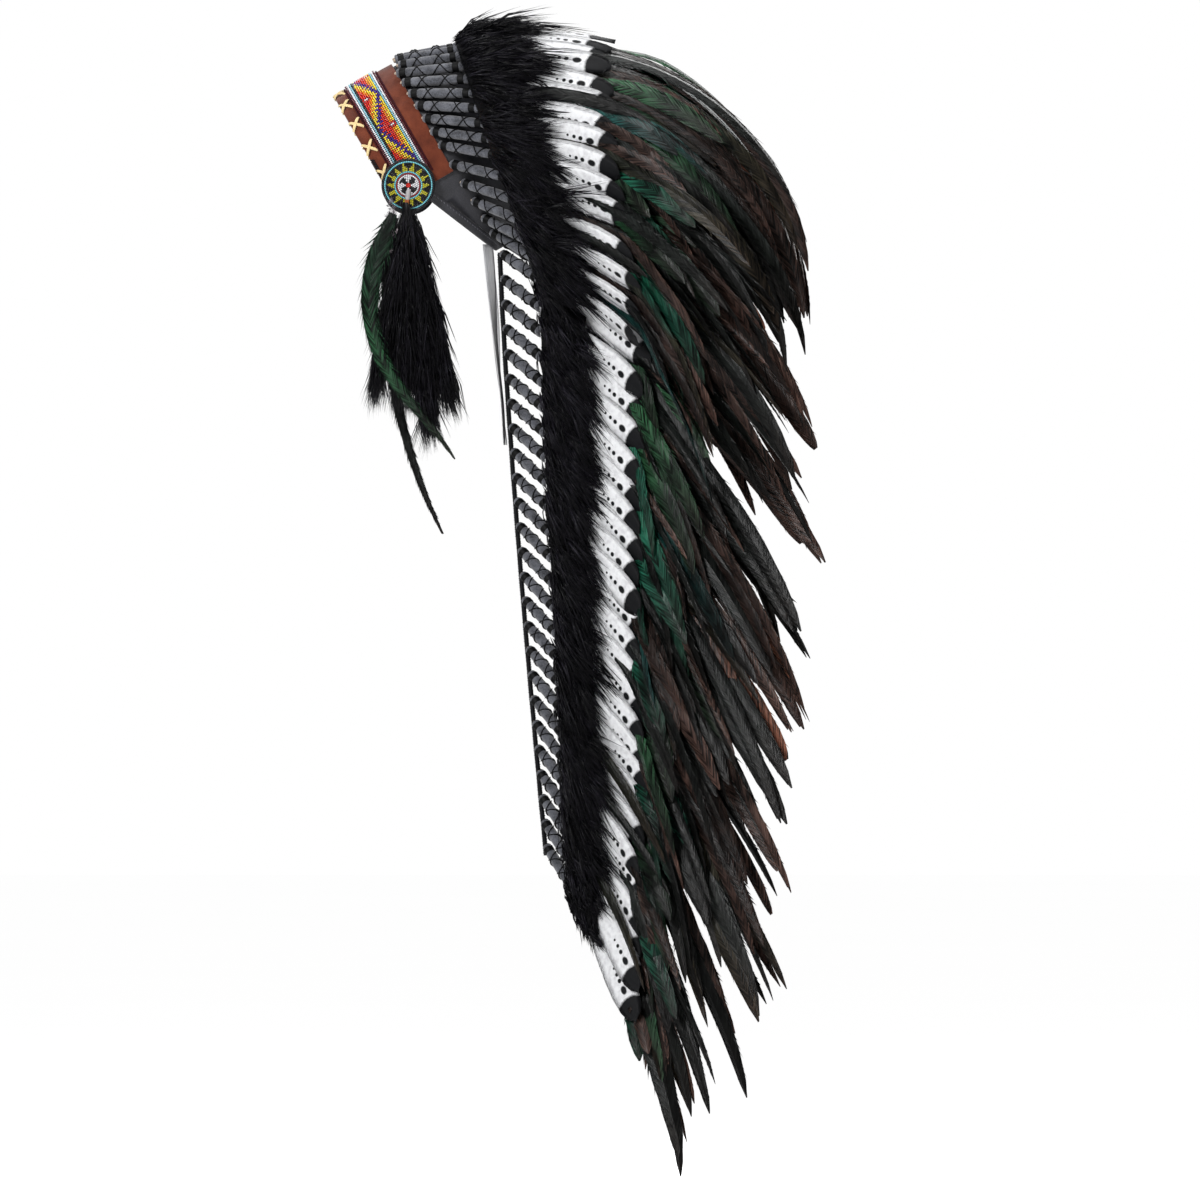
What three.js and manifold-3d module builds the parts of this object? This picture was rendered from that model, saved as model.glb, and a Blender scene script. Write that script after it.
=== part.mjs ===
/**
 * A feathered headdress with one long trail, as worn: the face looks along -X, up is +Z, and the left side is -Y.
 *
 * A leather cap carries a suede brow band with a beaded strip, cross lacing and two beaded rosettes. Feather units stand
 * in a row round the cap and down both edges of a cloth trail. Each unit is a bound quill wrap that carries a white
 * feather and a long dark plume. Fur covers the feet of the feathers. Each rosette carries a fur drop and two plumes.
 *
 * Units are millimetres. The origin is the middle of the ring on which the feather row starts, inside the cap.
 */
import * as THREE from "three";
import { mergeVertices } from "three/addons/utils/BufferGeometryUtils.js";
import Module from "manifold-3d";

const wasm = await Module();
wasm.setup();

const { degToRad, radToDeg, lerp, clamp } = THREE.MathUtils;

// ---------------------------------------------------------------- driving dimensions

const GAP = 0.4; // left between neighbouring pieces

// The hat ring: an ellipse about 575 mm round. The cap inside it is about 540 mm round, for a head of about 54 cm.
// The cap's axis leans back this far from upright.
const RING = { front: 104, side: 78, leanBack: 60 };

// The cap stands this far inside the ring. Its rim runs straight from the front to the nape.
const CAP = { inside: 3.6, wall: 2, dome: 70, frontRim: -46, rimRise: 0.41, segments: 28, rows: 5 };

const BAND = { wall: 2.5, low: -65, high: -1.5, endAngle: 99, stations: 19 };

const BEADS = { low: -51.5, high: -19.7, thick: 2, off: 1.1, endAngle: 90, stations: 17 };

const LACE = { crossPitch: 28.5, crosses: 5, reach: 5.5, high: -53.5, width: 3, thick: 1, off: 1.1 };

const ROSETTE = { front: -6.6, along: -45.7, backing: 25.6, face: 22.8, thick: 4.2, segments: 20 };

// A feather unit: a round wrap, and past it a white feather that lies on a dark plume.
const UNIT = { wrapRadius: 4.8, wrapSides: { crown: 6, trail: 5 }, whiteLift: 5, whiteThick: 2, whiteTilt: 1.8, plumeThick: 2.6, plumeTilt: 0.6 };

// Stations of the white feathers and of the plumes, by how far past the end of the wrap, then by share of the plume.
const WHITE = [{ past: 60 }, { past: 146 }];
const PLUME = [{ past: 0.9 }, { past: 60 }, { past: 146 }, { share: 0.68 }, { share: 1 }];
// Between two plumes the row starts this far past the wraps, and is open from this share of the plume on.
const BETWEEN = { start: 9, openFrom: 0.78 };

// The crown row: its feathers per side of the middle one, their spacing, and how far off the cap's wall they stand.
const CROWN = { perSide: 14, frontStep: 15, frontCount: 9, sideStep: 21, clear: 5.6, foot: 3.4, wrap: 62 };

// The trail: a cloth strip that hangs from the nape, with a cord and a row of feathers along each edge.
const TRAIL = {
  perSide: 25, groups: 3, top: -95, firstUnit: -91, lastUnit: -658, bottom: -668,
  x: 51, sweepBack: 44, sweepBend: 1.25, halfWidth: 22, wall: 2, cord: 3, wrapStart: 2.4, wrap: 54,
};

// How the row of units turns from the middle of the crown (row 0) to the tip of the trail (row 39): the foot's pitch above
// the horizon in the side view and its flare from the middle plane, the plume's length, how far below the horizon its
// tip points, how late it bends, and the height of the fur over its foot.
const ROW_TABLE = [
  { row: 0, pitch: 11, flare: 0, length: 560, fall: 97, bend: 1.15, fur: 9 },
  { row: 1, pitch: 10, flare: 6, length: 560, fall: 95, bend: 1.15, fur: 9 },
  { row: 3, pitch: 6, flare: 15, length: 530, fall: 88, bend: 1.25, fur: 13 },
  { row: 6, pitch: -3, flare: 24, length: 500, fall: 80, bend: 1.35, fur: 18 },
  { row: 8, pitch: -8, flare: 28, length: 480, fall: 74, bend: 1.3, fur: 20 },
  { row: 10, pitch: -14, flare: 30, length: 480, fall: 66, bend: 1.3, fur: 22 },
  { row: 12, pitch: -23, flare: 31, length: 485, fall: 62, bend: 1.3, fur: 22 },
  { row: 14, pitch: -32, flare: 32, length: 485, fall: 60, bend: 1.3, fur: 22 },
  { row: 16, pitch: -38, flare: 31, length: 525, fall: 62, bend: 1.3, fur: 22 },
  { row: 24, pitch: -44, flare: 31, length: 495, fall: 63, bend: 1.3, fur: 22 },
  { row: 32, pitch: -49, flare: 30, length: 475, fall: 68, bend: 1.3, fur: 22 },
  { row: 39, pitch: -58, flare: 29, length: 375, fall: 80, bend: 1.3, fur: 22 },
];
// Neighbouring plumes are not equally long.
const UNEVEN = [0.96, 0.93, 1.02, 0.9, 0.98, 0.94, 1.02, 0.96];

// A fur strip's section: how far past the end of the wrap, and how high above its underside, in shares of its height.
const FUR_SECTION = [
  { past: -4, share: 0 },
  { past: 0, share: 0.4 },
  { past: 22, share: 0.75 },
  { past: 50, share: 0.6 },
  { past: 76, share: 0.18, lock: 8 },
  { past: 36, share: 0.06 },
];
const FUR_UNDERSIDE = 8.6;

// The drops of one rosette, as points in the side view with the piece's width there.
const DROP = { side: -91, furSide: -92, greenSide: -108, darkSide: -81, headX: -39, headZ: -45 };
const GREEN_PLUME = [
  { x: -50, z: -56, width: 10 },
  { x: -66, z: -92, width: 22 },
  { x: -73, z: -134, width: 20 },
  { x: -71, z: -167, width: 16 },
  { x: -62, z: -199, width: 13 },
  { x: -28, z: -243, width: 10 },
  { x: 7, z: -289, width: 2 },
];
const DARK_PLUME = [
  { x: -50, z: -62, width: 7 },
  { x: -57, z: -112, width: 9 },
  { x: -58, z: -156, width: 10 },
  { x: -54, z: -199, width: 10 },
  { x: -44, z: -250, width: 10 },
  { x: -24, z: -316, width: 7 },
  { x: -4, z: -361, width: 2 },
];
const DROP_LOCKS = [
  { x: -14, z: -270, half: 20, at: 0.5 },
  { x: 8, z: -244, half: 15, at: 0.5 },
  { x: -44, z: -236, half: 15, at: 0.55 },
  { x: -72, z: -228, half: 8, at: 0.75 },
];

const RIBBON = { width: 11, thick: 1, y: -13, topX: 40, topZ: -91, bottomX: 56, bottomZ: -276, turn: 55, stations: 5 };

// ---------------------------------------------------------------- materials

const finish = (color, roughness) => new THREE.MeshStandardMaterial({ color, roughness, metalness: 0 });

const BLACK_LEATHER = finish(0x2c2b2f, 0.6);
const BROWN_SUEDE = finish(0x8a4526, 0.95);
const SEED_BEADS = finish(0xd8552a, 0.3);
const CREAM_LACE = finish(0xe6cf9a, 0.8);
const GREY_FELT = finish(0x54565d, 0.9);
const BLACK_FUR = finish(0x121116, 0.7);
const WHITE_FEATHER = finish(0xe0e1e3, 0.6);
const DARK_FEATHER = finish(0x22302a, 0.45);
const BLACK_CLOTH = finish(0x1d1c20, 0.9);
const GREY_SATIN = finish(0x9c9ca2, 0.35);

// ---------------------------------------------------------------- places and small helpers

const lean = degToRad(RING.leanBack);
const TO_FRONT = new THREE.Vector3(-Math.cos(lean), 0, Math.sin(lean));
const TO_LEFT = new THREE.Vector3(0, -1, 0);
const TO_CROWN = new THREE.Vector3(Math.sin(lean), 0, Math.cos(lean));

/** A point given in the hat's own directions: to its front, to its left and up its axis. */
function hatPoint(front, left, up) {
  return new THREE.Vector3()
    .addScaledVector(TO_FRONT, front)
    .addScaledVector(TO_LEFT, left)
    .addScaledVector(TO_CROWN, up);
}

/** The point of the hat wall at an angle from the front (left is positive), this far outside the ring, at this height. */
function wallPoint(degrees, outside, up) {
  const a = degToRad(degrees);
  return hatPoint((RING.front + outside) * Math.cos(a), (RING.side + outside) * Math.sin(a), up);
}

/** The angle from the front at which the ring has run this many millimetres. */
function angleAtArc(arc) {
  const step = degToRad(0.1);
  let angle = 0;
  for (let run = 0; run < Math.abs(arc); angle += step) {
    run += step * Math.hypot(RING.front * Math.sin(angle), RING.side * Math.cos(angle));
  }
  return Math.sign(arc) * radToDeg(angle);
}

/** The value of a column of the row table, straight between the table's own rows. */
function rowValue(key, row) {
  const next = Math.max(1, ROW_TABLE.findIndex((entry) => entry.row >= row));
  const [a, b] = [ROW_TABLE[next - 1], ROW_TABLE[next]];
  return lerp(a[key], b[key], (row - a.row) / (b.row - a.row));
}

/** Evenly spaced values from a to b. */
const steps = (count, a, b) => Array.from({ length: count }, (_, i) => lerp(a, b, i / (count - 1)));

const along = (origin, ...moves) => {
  const point = origin.clone();
  for (let i = 0; i < moves.length; i += 2) point.addScaledVector(moves[i], moves[i + 1]);
  return point;
};

function signedVolume(geometry) {
  const p = geometry.toNonIndexed().attributes.position;
  const [a, b, c] = [new THREE.Vector3(), new THREE.Vector3(), new THREE.Vector3()];
  let sum = 0;
  for (let i = 0; i < p.count; i += 3) {
    a.fromBufferAttribute(p, i);
    b.fromBufferAttribute(p, i + 1);
    c.fromBufferAttribute(p, i + 2);
    sum += a.dot(b.cross(c));
  }
  return sum / 6;
}

/** The same geometry with its faces turned over if they point inward. */
function facingOut(geometry) {
  if (signedVolume(geometry) < 0) {
    const index = geometry.index.array;
    for (let i = 0; i < index.length; i += 3) {
      [index[i + 1], index[i + 2]] = [index[i + 2], index[i + 1]];
    }
  }
  return geometry;
}

/**
 * A closed solid through rings with equally many points. Each end is closed by a ladder from the first point on. In a
 * thin sheet the second half of a ring is its underside, and top and underside are split along the same short lines.
 */
function loft(rings, sheet = false) {
  const sides = rings[0].length;
  const middle = (ring, i) => rings[ring][i].clone().add(rings[ring][sides - 1 - i]);
  const splitsBack = (ring, i, next) =>
    middle(ring, next).distanceTo(middle(ring + 1, i)) < middle(ring, i).distanceTo(middle(ring + 1, next)) - 1e-6;
  const index = [];
  for (let ring = 0; ring < rings.length - 1; ring++) {
    for (let i = 0; i < sides; i++) {
      const [a, b] = [ring * sides + i, ring * sides + ((i + 1) % sides)];
      if (sheet && splitsBack(ring, i, (i + 1) % sides)) index.push(a, b, a + sides, b, b + sides, a + sides);
      else index.push(a, b, b + sides, a, b + sides, a + sides);
    }
  }
  const closeEnd = (first, corner) => {
    for (let [a, b] = [0, sides - 1]; b - a > 1; ) {
      index.push(...corner(first + a, first + a + 1, first + b));
      a += 1;
      if (b - a > 1) {
        index.push(...corner(first + a, first + b - 1, first + b));
        b -= 1;
      }
    }
  };
  closeEnd(0, (a, b, c) => [a, c, b]);
  closeEnd((rings.length - 1) * sides, (a, b, c) => [a, b, c]);
  return facingOut(new THREE.BufferGeometry().setFromPoints(rings.flat()).setIndex(index));
}

/** A ring of points round a place: an oval with corners at the ends of its width. */
function oval(place, across, up, halfWidth, halfHeight, sides) {
  return Array.from({ length: sides }, (_, i) => {
    const a = (2 * Math.PI * i) / sides;
    return along(place, across, halfWidth * Math.cos(a), up, halfHeight * Math.sin(a));
  });
}

function asSolid(geometry) {
  const bare = new THREE.BufferGeometry().setAttribute("position", geometry.toNonIndexed().attributes.position);
  const merged = mergeVertices(bare, 1e-3);
  return new wasm.Manifold(
    new wasm.Mesh({
      numProp: 3,
      vertProperties: merged.attributes.position.array,
      triVerts: new Uint32Array(merged.index.array),
    }),
  );
}

/** One geometry from several that run into each other. */
function fuse(geometries) {
  const mesh = geometries
    .map(asSolid)
    .reduce((sum, solid) => sum.add(solid))
    .getMesh();
  return new THREE.BufferGeometry()
    .setAttribute("position", new THREE.BufferAttribute(new Float32Array(mesh.vertProperties), 3))
    .setIndex(new THREE.BufferAttribute(new Uint32Array(mesh.triVerts), 1));
}

const headdress = new THREE.Group();

function add(name, geometry, material) {
  const mesh = new THREE.Mesh(geometry, material);
  mesh.name = name;
  headdress.add(mesh);
}

/** The same piece on the left and, mirrored, on the right. */
function addPair(name, geometry, material) {
  const mirrored = geometry.clone().scale(1, -1, 1);
  add(`${name}_left`, geometry, material);
  if (!mirrored.index) mirrored.setIndex([...Array(mirrored.attributes.position.count).keys()]);
  add(`${name}_right`, facingOut(mirrored), material);
}

// ---------------------------------------------------------------- cap

const rimHeight = (front) => CAP.frontRim - CAP.rimRise * Math.min(front, 0);

function capGeometry() {
  const inset = CAP.wall / RING.side;
  const dome = (radius, height) =>
    steps(CAP.rows, 0, Math.PI / 2).map((a) => new THREE.Vector2(radius * Math.cos(a), height * Math.sin(a)));
  const outer = dome(1, CAP.dome).reverse();
  const inner = dome(1 - inset, CAP.dome - CAP.wall);
  outer[0].x = 0;
  inner.at(-1).x = 0;
  // Below height 0 the profile has only its rim, which then goes to the rim's own height.
  const profile = [...outer, new THREE.Vector2(1, -1), new THREE.Vector2(1 - inset, -1), ...inner];
  const geometry = new THREE.LatheGeometry(profile, CAP.segments);
  const position = geometry.attributes.position;
  for (let i = 0; i < position.count; i++) {
    const front = (RING.front - CAP.inside) * position.getX(i);
    const left = (RING.side - CAP.inside) * position.getZ(i);
    const up = position.getY(i);
    const point = hatPoint(front, left, up < 0 ? rimHeight(front) : up);
    position.setXYZ(i, point.x, point.y, point.z);
  }
  return facingOut(geometry);
}

add("cap", capGeometry(), BLACK_LEATHER);

// ---------------------------------------------------------------- brow band, beaded strip and lacing

/** A strip of the hat wall between two angles, two heights and two distances outside the ring. */
function wallStrip(fromAngle, toAngle, stations, low, high, inner, outer) {
  return loft(
    steps(stations, fromAngle, toAngle).map((angle) => [
      wallPoint(angle, inner, low),
      wallPoint(angle, outer, low),
      wallPoint(angle, outer, high),
      wallPoint(angle, inner, high),
    ]),
  );
}

add(
  "brow_band",
  wallStrip(-BAND.endAngle, BAND.endAngle, BAND.stations, BAND.low, BAND.high, -BAND.wall, 0),
  BROWN_SUEDE,
);
add(
  "bead_strip",
  wallStrip(-BEADS.endAngle, BEADS.endAngle, BEADS.stations, BEADS.low, BEADS.high, BEADS.off, BEADS.off + BEADS.thick),
  SEED_BEADS,
);

/** One cross of the lacing, bent round the outside of the band. */
function laceCross(arc) {
  const { reach, width, high, thick, off } = LACE;
  const [foot, top, leg, near, far] = [BAND.low - 0.4, high, width * 0.7, reach - width * 0.7, reach + width * 0.35];
  const middle = (foot + top) / 2;
  const outline = [
    [-far, foot], [-leg, middle], [-far, top], [-near, top], [0, middle + leg], [near, top],
    [far, top], [leg, middle], [far, foot], [near, foot], [0, middle - leg], [-near, foot],
  ];
  const shape = new THREE.Shape(outline.map(([x, y]) => new THREE.Vector2(x, y)));
  const geometry = new THREE.ExtrudeGeometry(shape, { depth: thick, bevelEnabled: false });
  const position = geometry.attributes.position;
  for (let i = 0; i < position.count; i++) {
    const point = wallPoint(angleAtArc(arc + position.getX(i)), off + position.getZ(i), position.getY(i));
    position.setXYZ(i, point.x, point.y, point.z);
  }
  return facingOut(mergeVertices(new THREE.BufferGeometry().setAttribute("position", position), 1e-3));
}

/** The crosses, joined by the lace's run along the band's low edge. */
function lacingGeometry() {
  const arcs = steps(2 * LACE.crosses, -LACE.crosses + 0.5, LACE.crosses - 0.5).map((i) => i * LACE.crossPitch);
  const end = angleAtArc(arcs.at(-1) + LACE.reach);
  const run = wallStrip(-end, end, 21, BAND.low - LACE.thick, BAND.low + 0.3, LACE.off - 0.2, LACE.off + LACE.thick + 0.2);
  return fuse([run, ...arcs.map(laceCross)]);
}

add("brow_lacing", lacingGeometry(), CREAM_LACE);

// ---------------------------------------------------------------- rosettes

function rosetteGeometry() {
  const { backing, face, thick, segments } = ROSETTE;
  const profile = [
    [0, 0],
    [backing, 0],
    [backing, 1.8],
    [face, thick - 0.8],
    [0, thick],
  ].map(([radius, height]) => new THREE.Vector2(radius, height));
  const middle = hatPoint(ROSETTE.front, RING.side + BEADS.off + BEADS.thick + GAP, ROSETTE.along);
  const geometry = new THREE.LatheGeometry(profile, segments).rotateX(Math.PI);
  return facingOut(geometry.translate(middle.x, middle.y, middle.z));
}

addPair("rosette", rosetteGeometry(), SEED_BEADS);

// ---------------------------------------------------------------- feather units

/** Where the middle of the trail's strip is at this height. */
const trailX = (z) => TRAIL.x + TRAIL.sweepBack * clamp((TRAIL.top - z) / (TRAIL.top - TRAIL.bottom), 0, 1) ** TRAIL.sweepBend;

/** The place on the row's base line of a unit: round the ring up to the nape, then down the trail's left cord. */
function basePoint(row) {
  if (row <= CROWN.perSide) {
    const arc = CROWN.frontStep * Math.min(row, CROWN.frontCount) + CROWN.sideStep * Math.max(row - CROWN.frontCount, 0);
    return wallPoint(angleAtArc(arc), CROWN.clear - CAP.inside, CROWN.foot);
  }
  const z = lerp(TRAIL.firstUnit, TRAIL.lastUnit, (row - CROWN.perSide - 1) / (TRAIL.perSide - 1));
  return new THREE.Vector3(trailX(z), -(TRAIL.halfWidth + GAP + TRAIL.cord), z);
}

/** One feather unit of the left side (or, mirrored, the right): its path and its directions at any distance. */
class Unit {
  constructor(row, mirrored = false) {
    this.row = row;
    this.mirrored = mirrored;
    this.wrap = row <= CROWN.perSide ? CROWN.wrap : TRAIL.wrap;
    this.fullLength = rowValue("length", row);
    this.length = this.fullLength * UNEVEN[row % UNEVEN.length];
    this.usualLength = this.fullLength * 0.93;
    const [pitch, flare] = [degToRad(rowValue("pitch", row)), degToRad(rowValue("flare", row))];
    this.rise = Math.asin(Math.sin(pitch) * Math.cos(flare));
    this.azimuth = Math.atan2(Math.sin(flare), Math.cos(pitch) * Math.cos(flare));
    this.fall = degToRad(rowValue("fall", row));
    this.bend = rowValue("bend", row);
    this.furHeight = rowValue("fur", row);
    this.base = basePoint(row);
    if (row > CROWN.perSide) this.base.addScaledVector(this.direction(0), TRAIL.wrapStart);
    const [first, last] = row <= CROWN.perSide ? [0, CROWN.perSide] : [CROWN.perSide + 1, CROWN.perSide + TRAIL.perSide];
    const tangent =
      row === 0 ? TO_LEFT.clone() : basePoint(Math.min(row + 1, last)).sub(basePoint(Math.max(row - 1, first))).normalize();
    const heading = this.direction(0);
    this.tangent = tangent.addScaledVector(heading, -tangent.dot(heading)).normalize();
  }

  direction(distance) {
    const share = clamp((distance - this.wrap) / (this.fullLength - this.wrap), 0, 1) ** this.bend;
    const rise = lerp(this.rise, -this.fall, share);
    return new THREE.Vector3(
      Math.cos(rise) * Math.cos(this.azimuth),
      -Math.cos(rise) * Math.sin(this.azimuth),
      Math.sin(rise),
    );
  }

  /** The place, the direction, and the row's own along-row and outward directions at a distance from the foot. */
  frame(distance) {
    const place = this.base.clone();
    const count = Math.max(1, Math.ceil(distance / 10));
    for (let i = 0; i < count; i++) {
      place.addScaledVector(this.direction(((i + 0.5) * distance) / count), distance / count);
    }
    const heading = this.direction(distance);
    const turn = new THREE.Quaternion().setFromUnitVectors(this.direction(0), heading);
    const tangent = this.tangent.clone().applyQuaternion(turn);
    const outward = tangent.clone().cross(heading).normalize();
    const frame = { place, heading, tangent, outward };
    if (this.mirrored) for (const vector of Object.values(frame)) vector.y *= -1;
    return frame;
  }

  wrapGeometry() {
    return loft(
      [0, this.wrap].map((distance) => {
        const { place, tangent, outward } = this.frame(distance);
        return oval(place, tangent, outward, UNIT.wrapRadius, UNIT.wrapRadius, this.row <= CROWN.perSide ? UNIT.wrapSides.crown : UNIT.wrapSides.trail);
      }),
    );
  }
}

/** A unit's place at a distance, moved part of the way to the same place of the next unit of its row. */
function between(units, index, part, distance) {
  const own = units[index].frame(distance);
  const other = units[index + Math.sign(part)];
  const share = Math.abs(part);
  if (other) own.place.lerp(other.frame(distance).place, share);
  else own.place.lerp(units[index - Math.sign(part)].frame(distance).place, -share);
  return own;
}

/** The direction off the sheet far out, where each plume hangs inside the one before it and the row's own has turned. */
function offSheet(units, index, distance) {
  const [before, after] = [units[Math.max(index - 1, 0)], units[Math.min(index + 1, units.length - 1)]];
  const across = after.frame(distance).place.sub(before.frame(distance).place);
  return across.cross(units[index].frame(distance).heading).normalize();
}

/**
 * One sheet of feathers that lie side by side. Each feather has a section at each of its parts, by how far the part
 * lies towards the next feather. A part is [share, height].
 */
function featherSheet(units, parts, thick, distances) {
  return loft(
    units.flatMap((unit, index) => {
      const own = unit.mirrored ? parts.map(([share, height]) => [-share, height]).reverse() : parts;
      return own.map(([share, height]) => {
        const stations = distances(unit, share);
        const points = stations.map((distance) => between(units, index, share, distance));
        const [from, last] = stations.slice(-2);
        if (points.length > 2 && last < unit.length) {
          // Beside a tip the sheet ends on the tip's own straight line, so that it has no crease.
          const tip = between(units, index, share, unit.length).place;
          points.at(-1).place.lerpVectors(points.at(-2).place, tip, (last - from) / (unit.length - from));
        }
        const off = points.map(({ outward }, i) => (i > 2 ? offSheet(units, index, stations[i]) : outward));
        const side = (offset) => points.map(({ place }, i) => along(place, off[i], height + offset));
        const [top, bottom] = [side(thick / 2), side(-thick / 2)];
        return [...top, ...bottom.reverse()];
      });
    }),
    true,
  );
}

/** How far from its foot a station of a unit is. Only the tip follows the unit's own length. */
function distanceOf(unit, { past, share }) {
  if (!share) return unit.wrap + past;
  return share < 1 ? share * unit.usualLength : unit.length;
}

/** The white feathers overlap like shingles: the front edge of each stands higher than its rear edge. */
function whitesGeometry(units) {
  const { whiteLift, whiteTilt, whiteThick } = UNIT;
  const parts = [[-0.42, whiteLift + whiteTilt], [0.42, whiteLift - whiteTilt]];
  return featherSheet(units, parts, whiteThick, (unit) => WHITE.map((entry) => distanceOf(unit, entry)));
}

/** The plumes: each ends in a point, and the gap between two of them reaches back to where the row is closed. */
function plumesGeometry(units) {
  const { plumeThick, plumeTilt } = UNIT;
  const tip = 0.06;
  return featherSheet(units, [[-0.44, plumeTilt], [tip, -plumeTilt]], plumeThick, (unit, share) =>
    PLUME.map((entry, i) => {
      const own = distanceOf(unit, entry);
      if (Math.abs(share) === tip) return own;
      const closed = BETWEEN.openFrom * unit.usualLength;
      if (entry.share) return Math.min(own, i === PLUME.length - 1 ? closed : closed - 12);
      return Math.max(own, unit.wrap + BETWEEN.start);
    }),
  );
}

/** A strip of fur over the feathers' feet, with every other station drawn out as a lock. */
function furGeometry(units) {
  return loft(
    units.map((unit, i) =>
      FUR_SECTION.map(({ past, share, lock = 0 }) => {
        const { place, outward } = unit.frame(unit.wrap + past + lock * (i % 2 ? 1 : -1));
        return along(place, outward, FUR_UNDERSIDE + share * unit.furHeight);
      }),
    ),
  );
}

const crownRows = steps(CROWN.perSide + 1, 0, CROWN.perSide);
const crownUnits = [...crownRows.slice(1).reverse().map((row) => new Unit(row, true)), ...crownRows.map((row) => new Unit(row))];
const trailUnits = steps(TRAIL.perSide, CROWN.perSide + 1, CROWN.perSide + TRAIL.perSide).map((row) => new Unit(row));

crownUnits.forEach((unit, i) => add(`crown_wrap_${String(i + 1).padStart(2, "0")}`, unit.wrapGeometry(), GREY_FELT));
add("crown_white_feathers", whitesGeometry(crownUnits), WHITE_FEATHER);
add("crown_plumes", plumesGeometry(crownUnits), DARK_FEATHER);
add("crown_fur", furGeometry(crownUnits), BLACK_FUR);

// ---------------------------------------------------------------- trail

function trailStripGeometry() {
  const half = TRAIL.wall / 2;
  return loft(
    steps(7, TRAIL.top, TRAIL.bottom).map((z) => [
      new THREE.Vector3(trailX(z) - half, -TRAIL.halfWidth, z),
      new THREE.Vector3(trailX(z) + half, -TRAIL.halfWidth, z),
      new THREE.Vector3(trailX(z) + half, TRAIL.halfWidth, z),
      new THREE.Vector3(trailX(z) - half, TRAIL.halfWidth, z),
    ]),
  );
}

add("trail_strip", trailStripGeometry(), BLACK_CLOTH);

/** A stretch of the trail's edge cord with the wraps that are bound to it. */
function boundWrapsGeometry(units) {
  const pitch = (TRAIL.firstUnit - TRAIL.lastUnit) / (TRAIL.perSide - 1);
  const y = -(TRAIL.halfWidth + GAP + TRAIL.cord);
  const corner = (unit) => basePoint(unit.row).z;
  const heights = steps(3, Math.min(corner(units[0]) + pitch / 2 - GAP, TRAIL.top + 3), corner(units.at(-1)) - pitch / 2 + GAP);
  const cord = loft(
    heights.map((z) =>
      oval(new THREE.Vector3(trailX(z), y, z), new THREE.Vector3(1, 0, 0), new THREE.Vector3(0, 1, 0), TRAIL.cord, TRAIL.cord, 5),
    ),
  );
  return fuse([cord, ...units.map((unit) => unit.wrapGeometry())]);
}

for (let group = 0; group < TRAIL.groups; group++) {
  const size = Math.ceil(TRAIL.perSide / TRAIL.groups);
  addPair(`trail_wraps_${group + 1}`, boundWrapsGeometry(trailUnits.slice(group * size, (group + 1) * size)), GREY_FELT);
}
addPair("trail_white_feathers", whitesGeometry(trailUnits), WHITE_FEATHER);
addPair("trail_plumes", plumesGeometry(trailUnits), DARK_FEATHER);
addPair("trail_fur", furGeometry(trailUnits), BLACK_FUR);

// ---------------------------------------------------------------- drops and ties

const Y_AXIS = new THREE.Vector3(0, 1, 0);

/** A loose plume that hangs in the plane at this distance to the side, through a table of points. */
function hangingPlume(table, y, thick) {
  return loft(
    table.map(({ x, z, width }, i) => {
      const before = table[Math.max(i - 1, 0)];
      const after = table[Math.min(i + 1, table.length - 1)];
      const across = new THREE.Vector3(z - after.z + before.z - z, 0, after.x - before.x).normalize();
      return oval(new THREE.Vector3(x, y, z), across, Y_AXIS, width / 2, thick / 2, 4);
    }),
  );
}

function dropLock({ x, z, half, at }) {
  const shares = [0, 0.25, at, 1];
  const sizes = [3, half * 0.62, half, 1];
  return loft(
    shares.map((share, i) => {
      const place = new THREE.Vector3(lerp(DROP.headX, x, share ** 1.2), DROP.furSide, lerp(DROP.headZ, z, share));
      return oval(place, new THREE.Vector3(1, 0, 0), Y_AXIS, sizes[i], Math.min(sizes[i], 8 + share), 5);
    }),
  );
}

addPair("drop_fur", fuse(DROP_LOCKS.map(dropLock)), BLACK_FUR);
addPair("drop_green_plume", hangingPlume(GREEN_PLUME, DROP.greenSide, 3), DARK_FEATHER);
addPair("drop_dark_plume", hangingPlume(DARK_PLUME, DROP.darkSide, 3), DARK_FEATHER);

function ribbonGeometry() {
  return loft(
    steps(RIBBON.stations, 0, 1).map((share) => {
      const turn = degToRad(RIBBON.turn * (1 - share));
      const across = new THREE.Vector3(Math.sin(turn), Math.cos(turn), 0);
      const up = new THREE.Vector3(Math.cos(turn), -Math.sin(turn), 0);
      const place = new THREE.Vector3(lerp(RIBBON.topX, RIBBON.bottomX, share), RIBBON.y, lerp(RIBBON.topZ, RIBBON.bottomZ, share));
      const [w, t] = [RIBBON.width / 2, RIBBON.thick / 2];
      return [along(place, across, -w, up, -t), along(place, across, w, up, -t), along(place, across, w, up, t), along(place, across, -w, up, t)];
    }),
  );
}

addPair("tie_ribbon", ribbonGeometry(), GREY_SATIN);

export default headdress;
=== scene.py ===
"""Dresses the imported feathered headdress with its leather, beads, wraps, fur and feathers.

The frame is in metres. The face looks along -X, up is +Z and the wearer's left side is -Y. Sizes in the tables below
are in millimetres, as a maker measures them, and are turned into metres where a mesh is made.
"""
import logging
import math
from dataclasses import dataclass, field, replace
from enum import Enum

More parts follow.
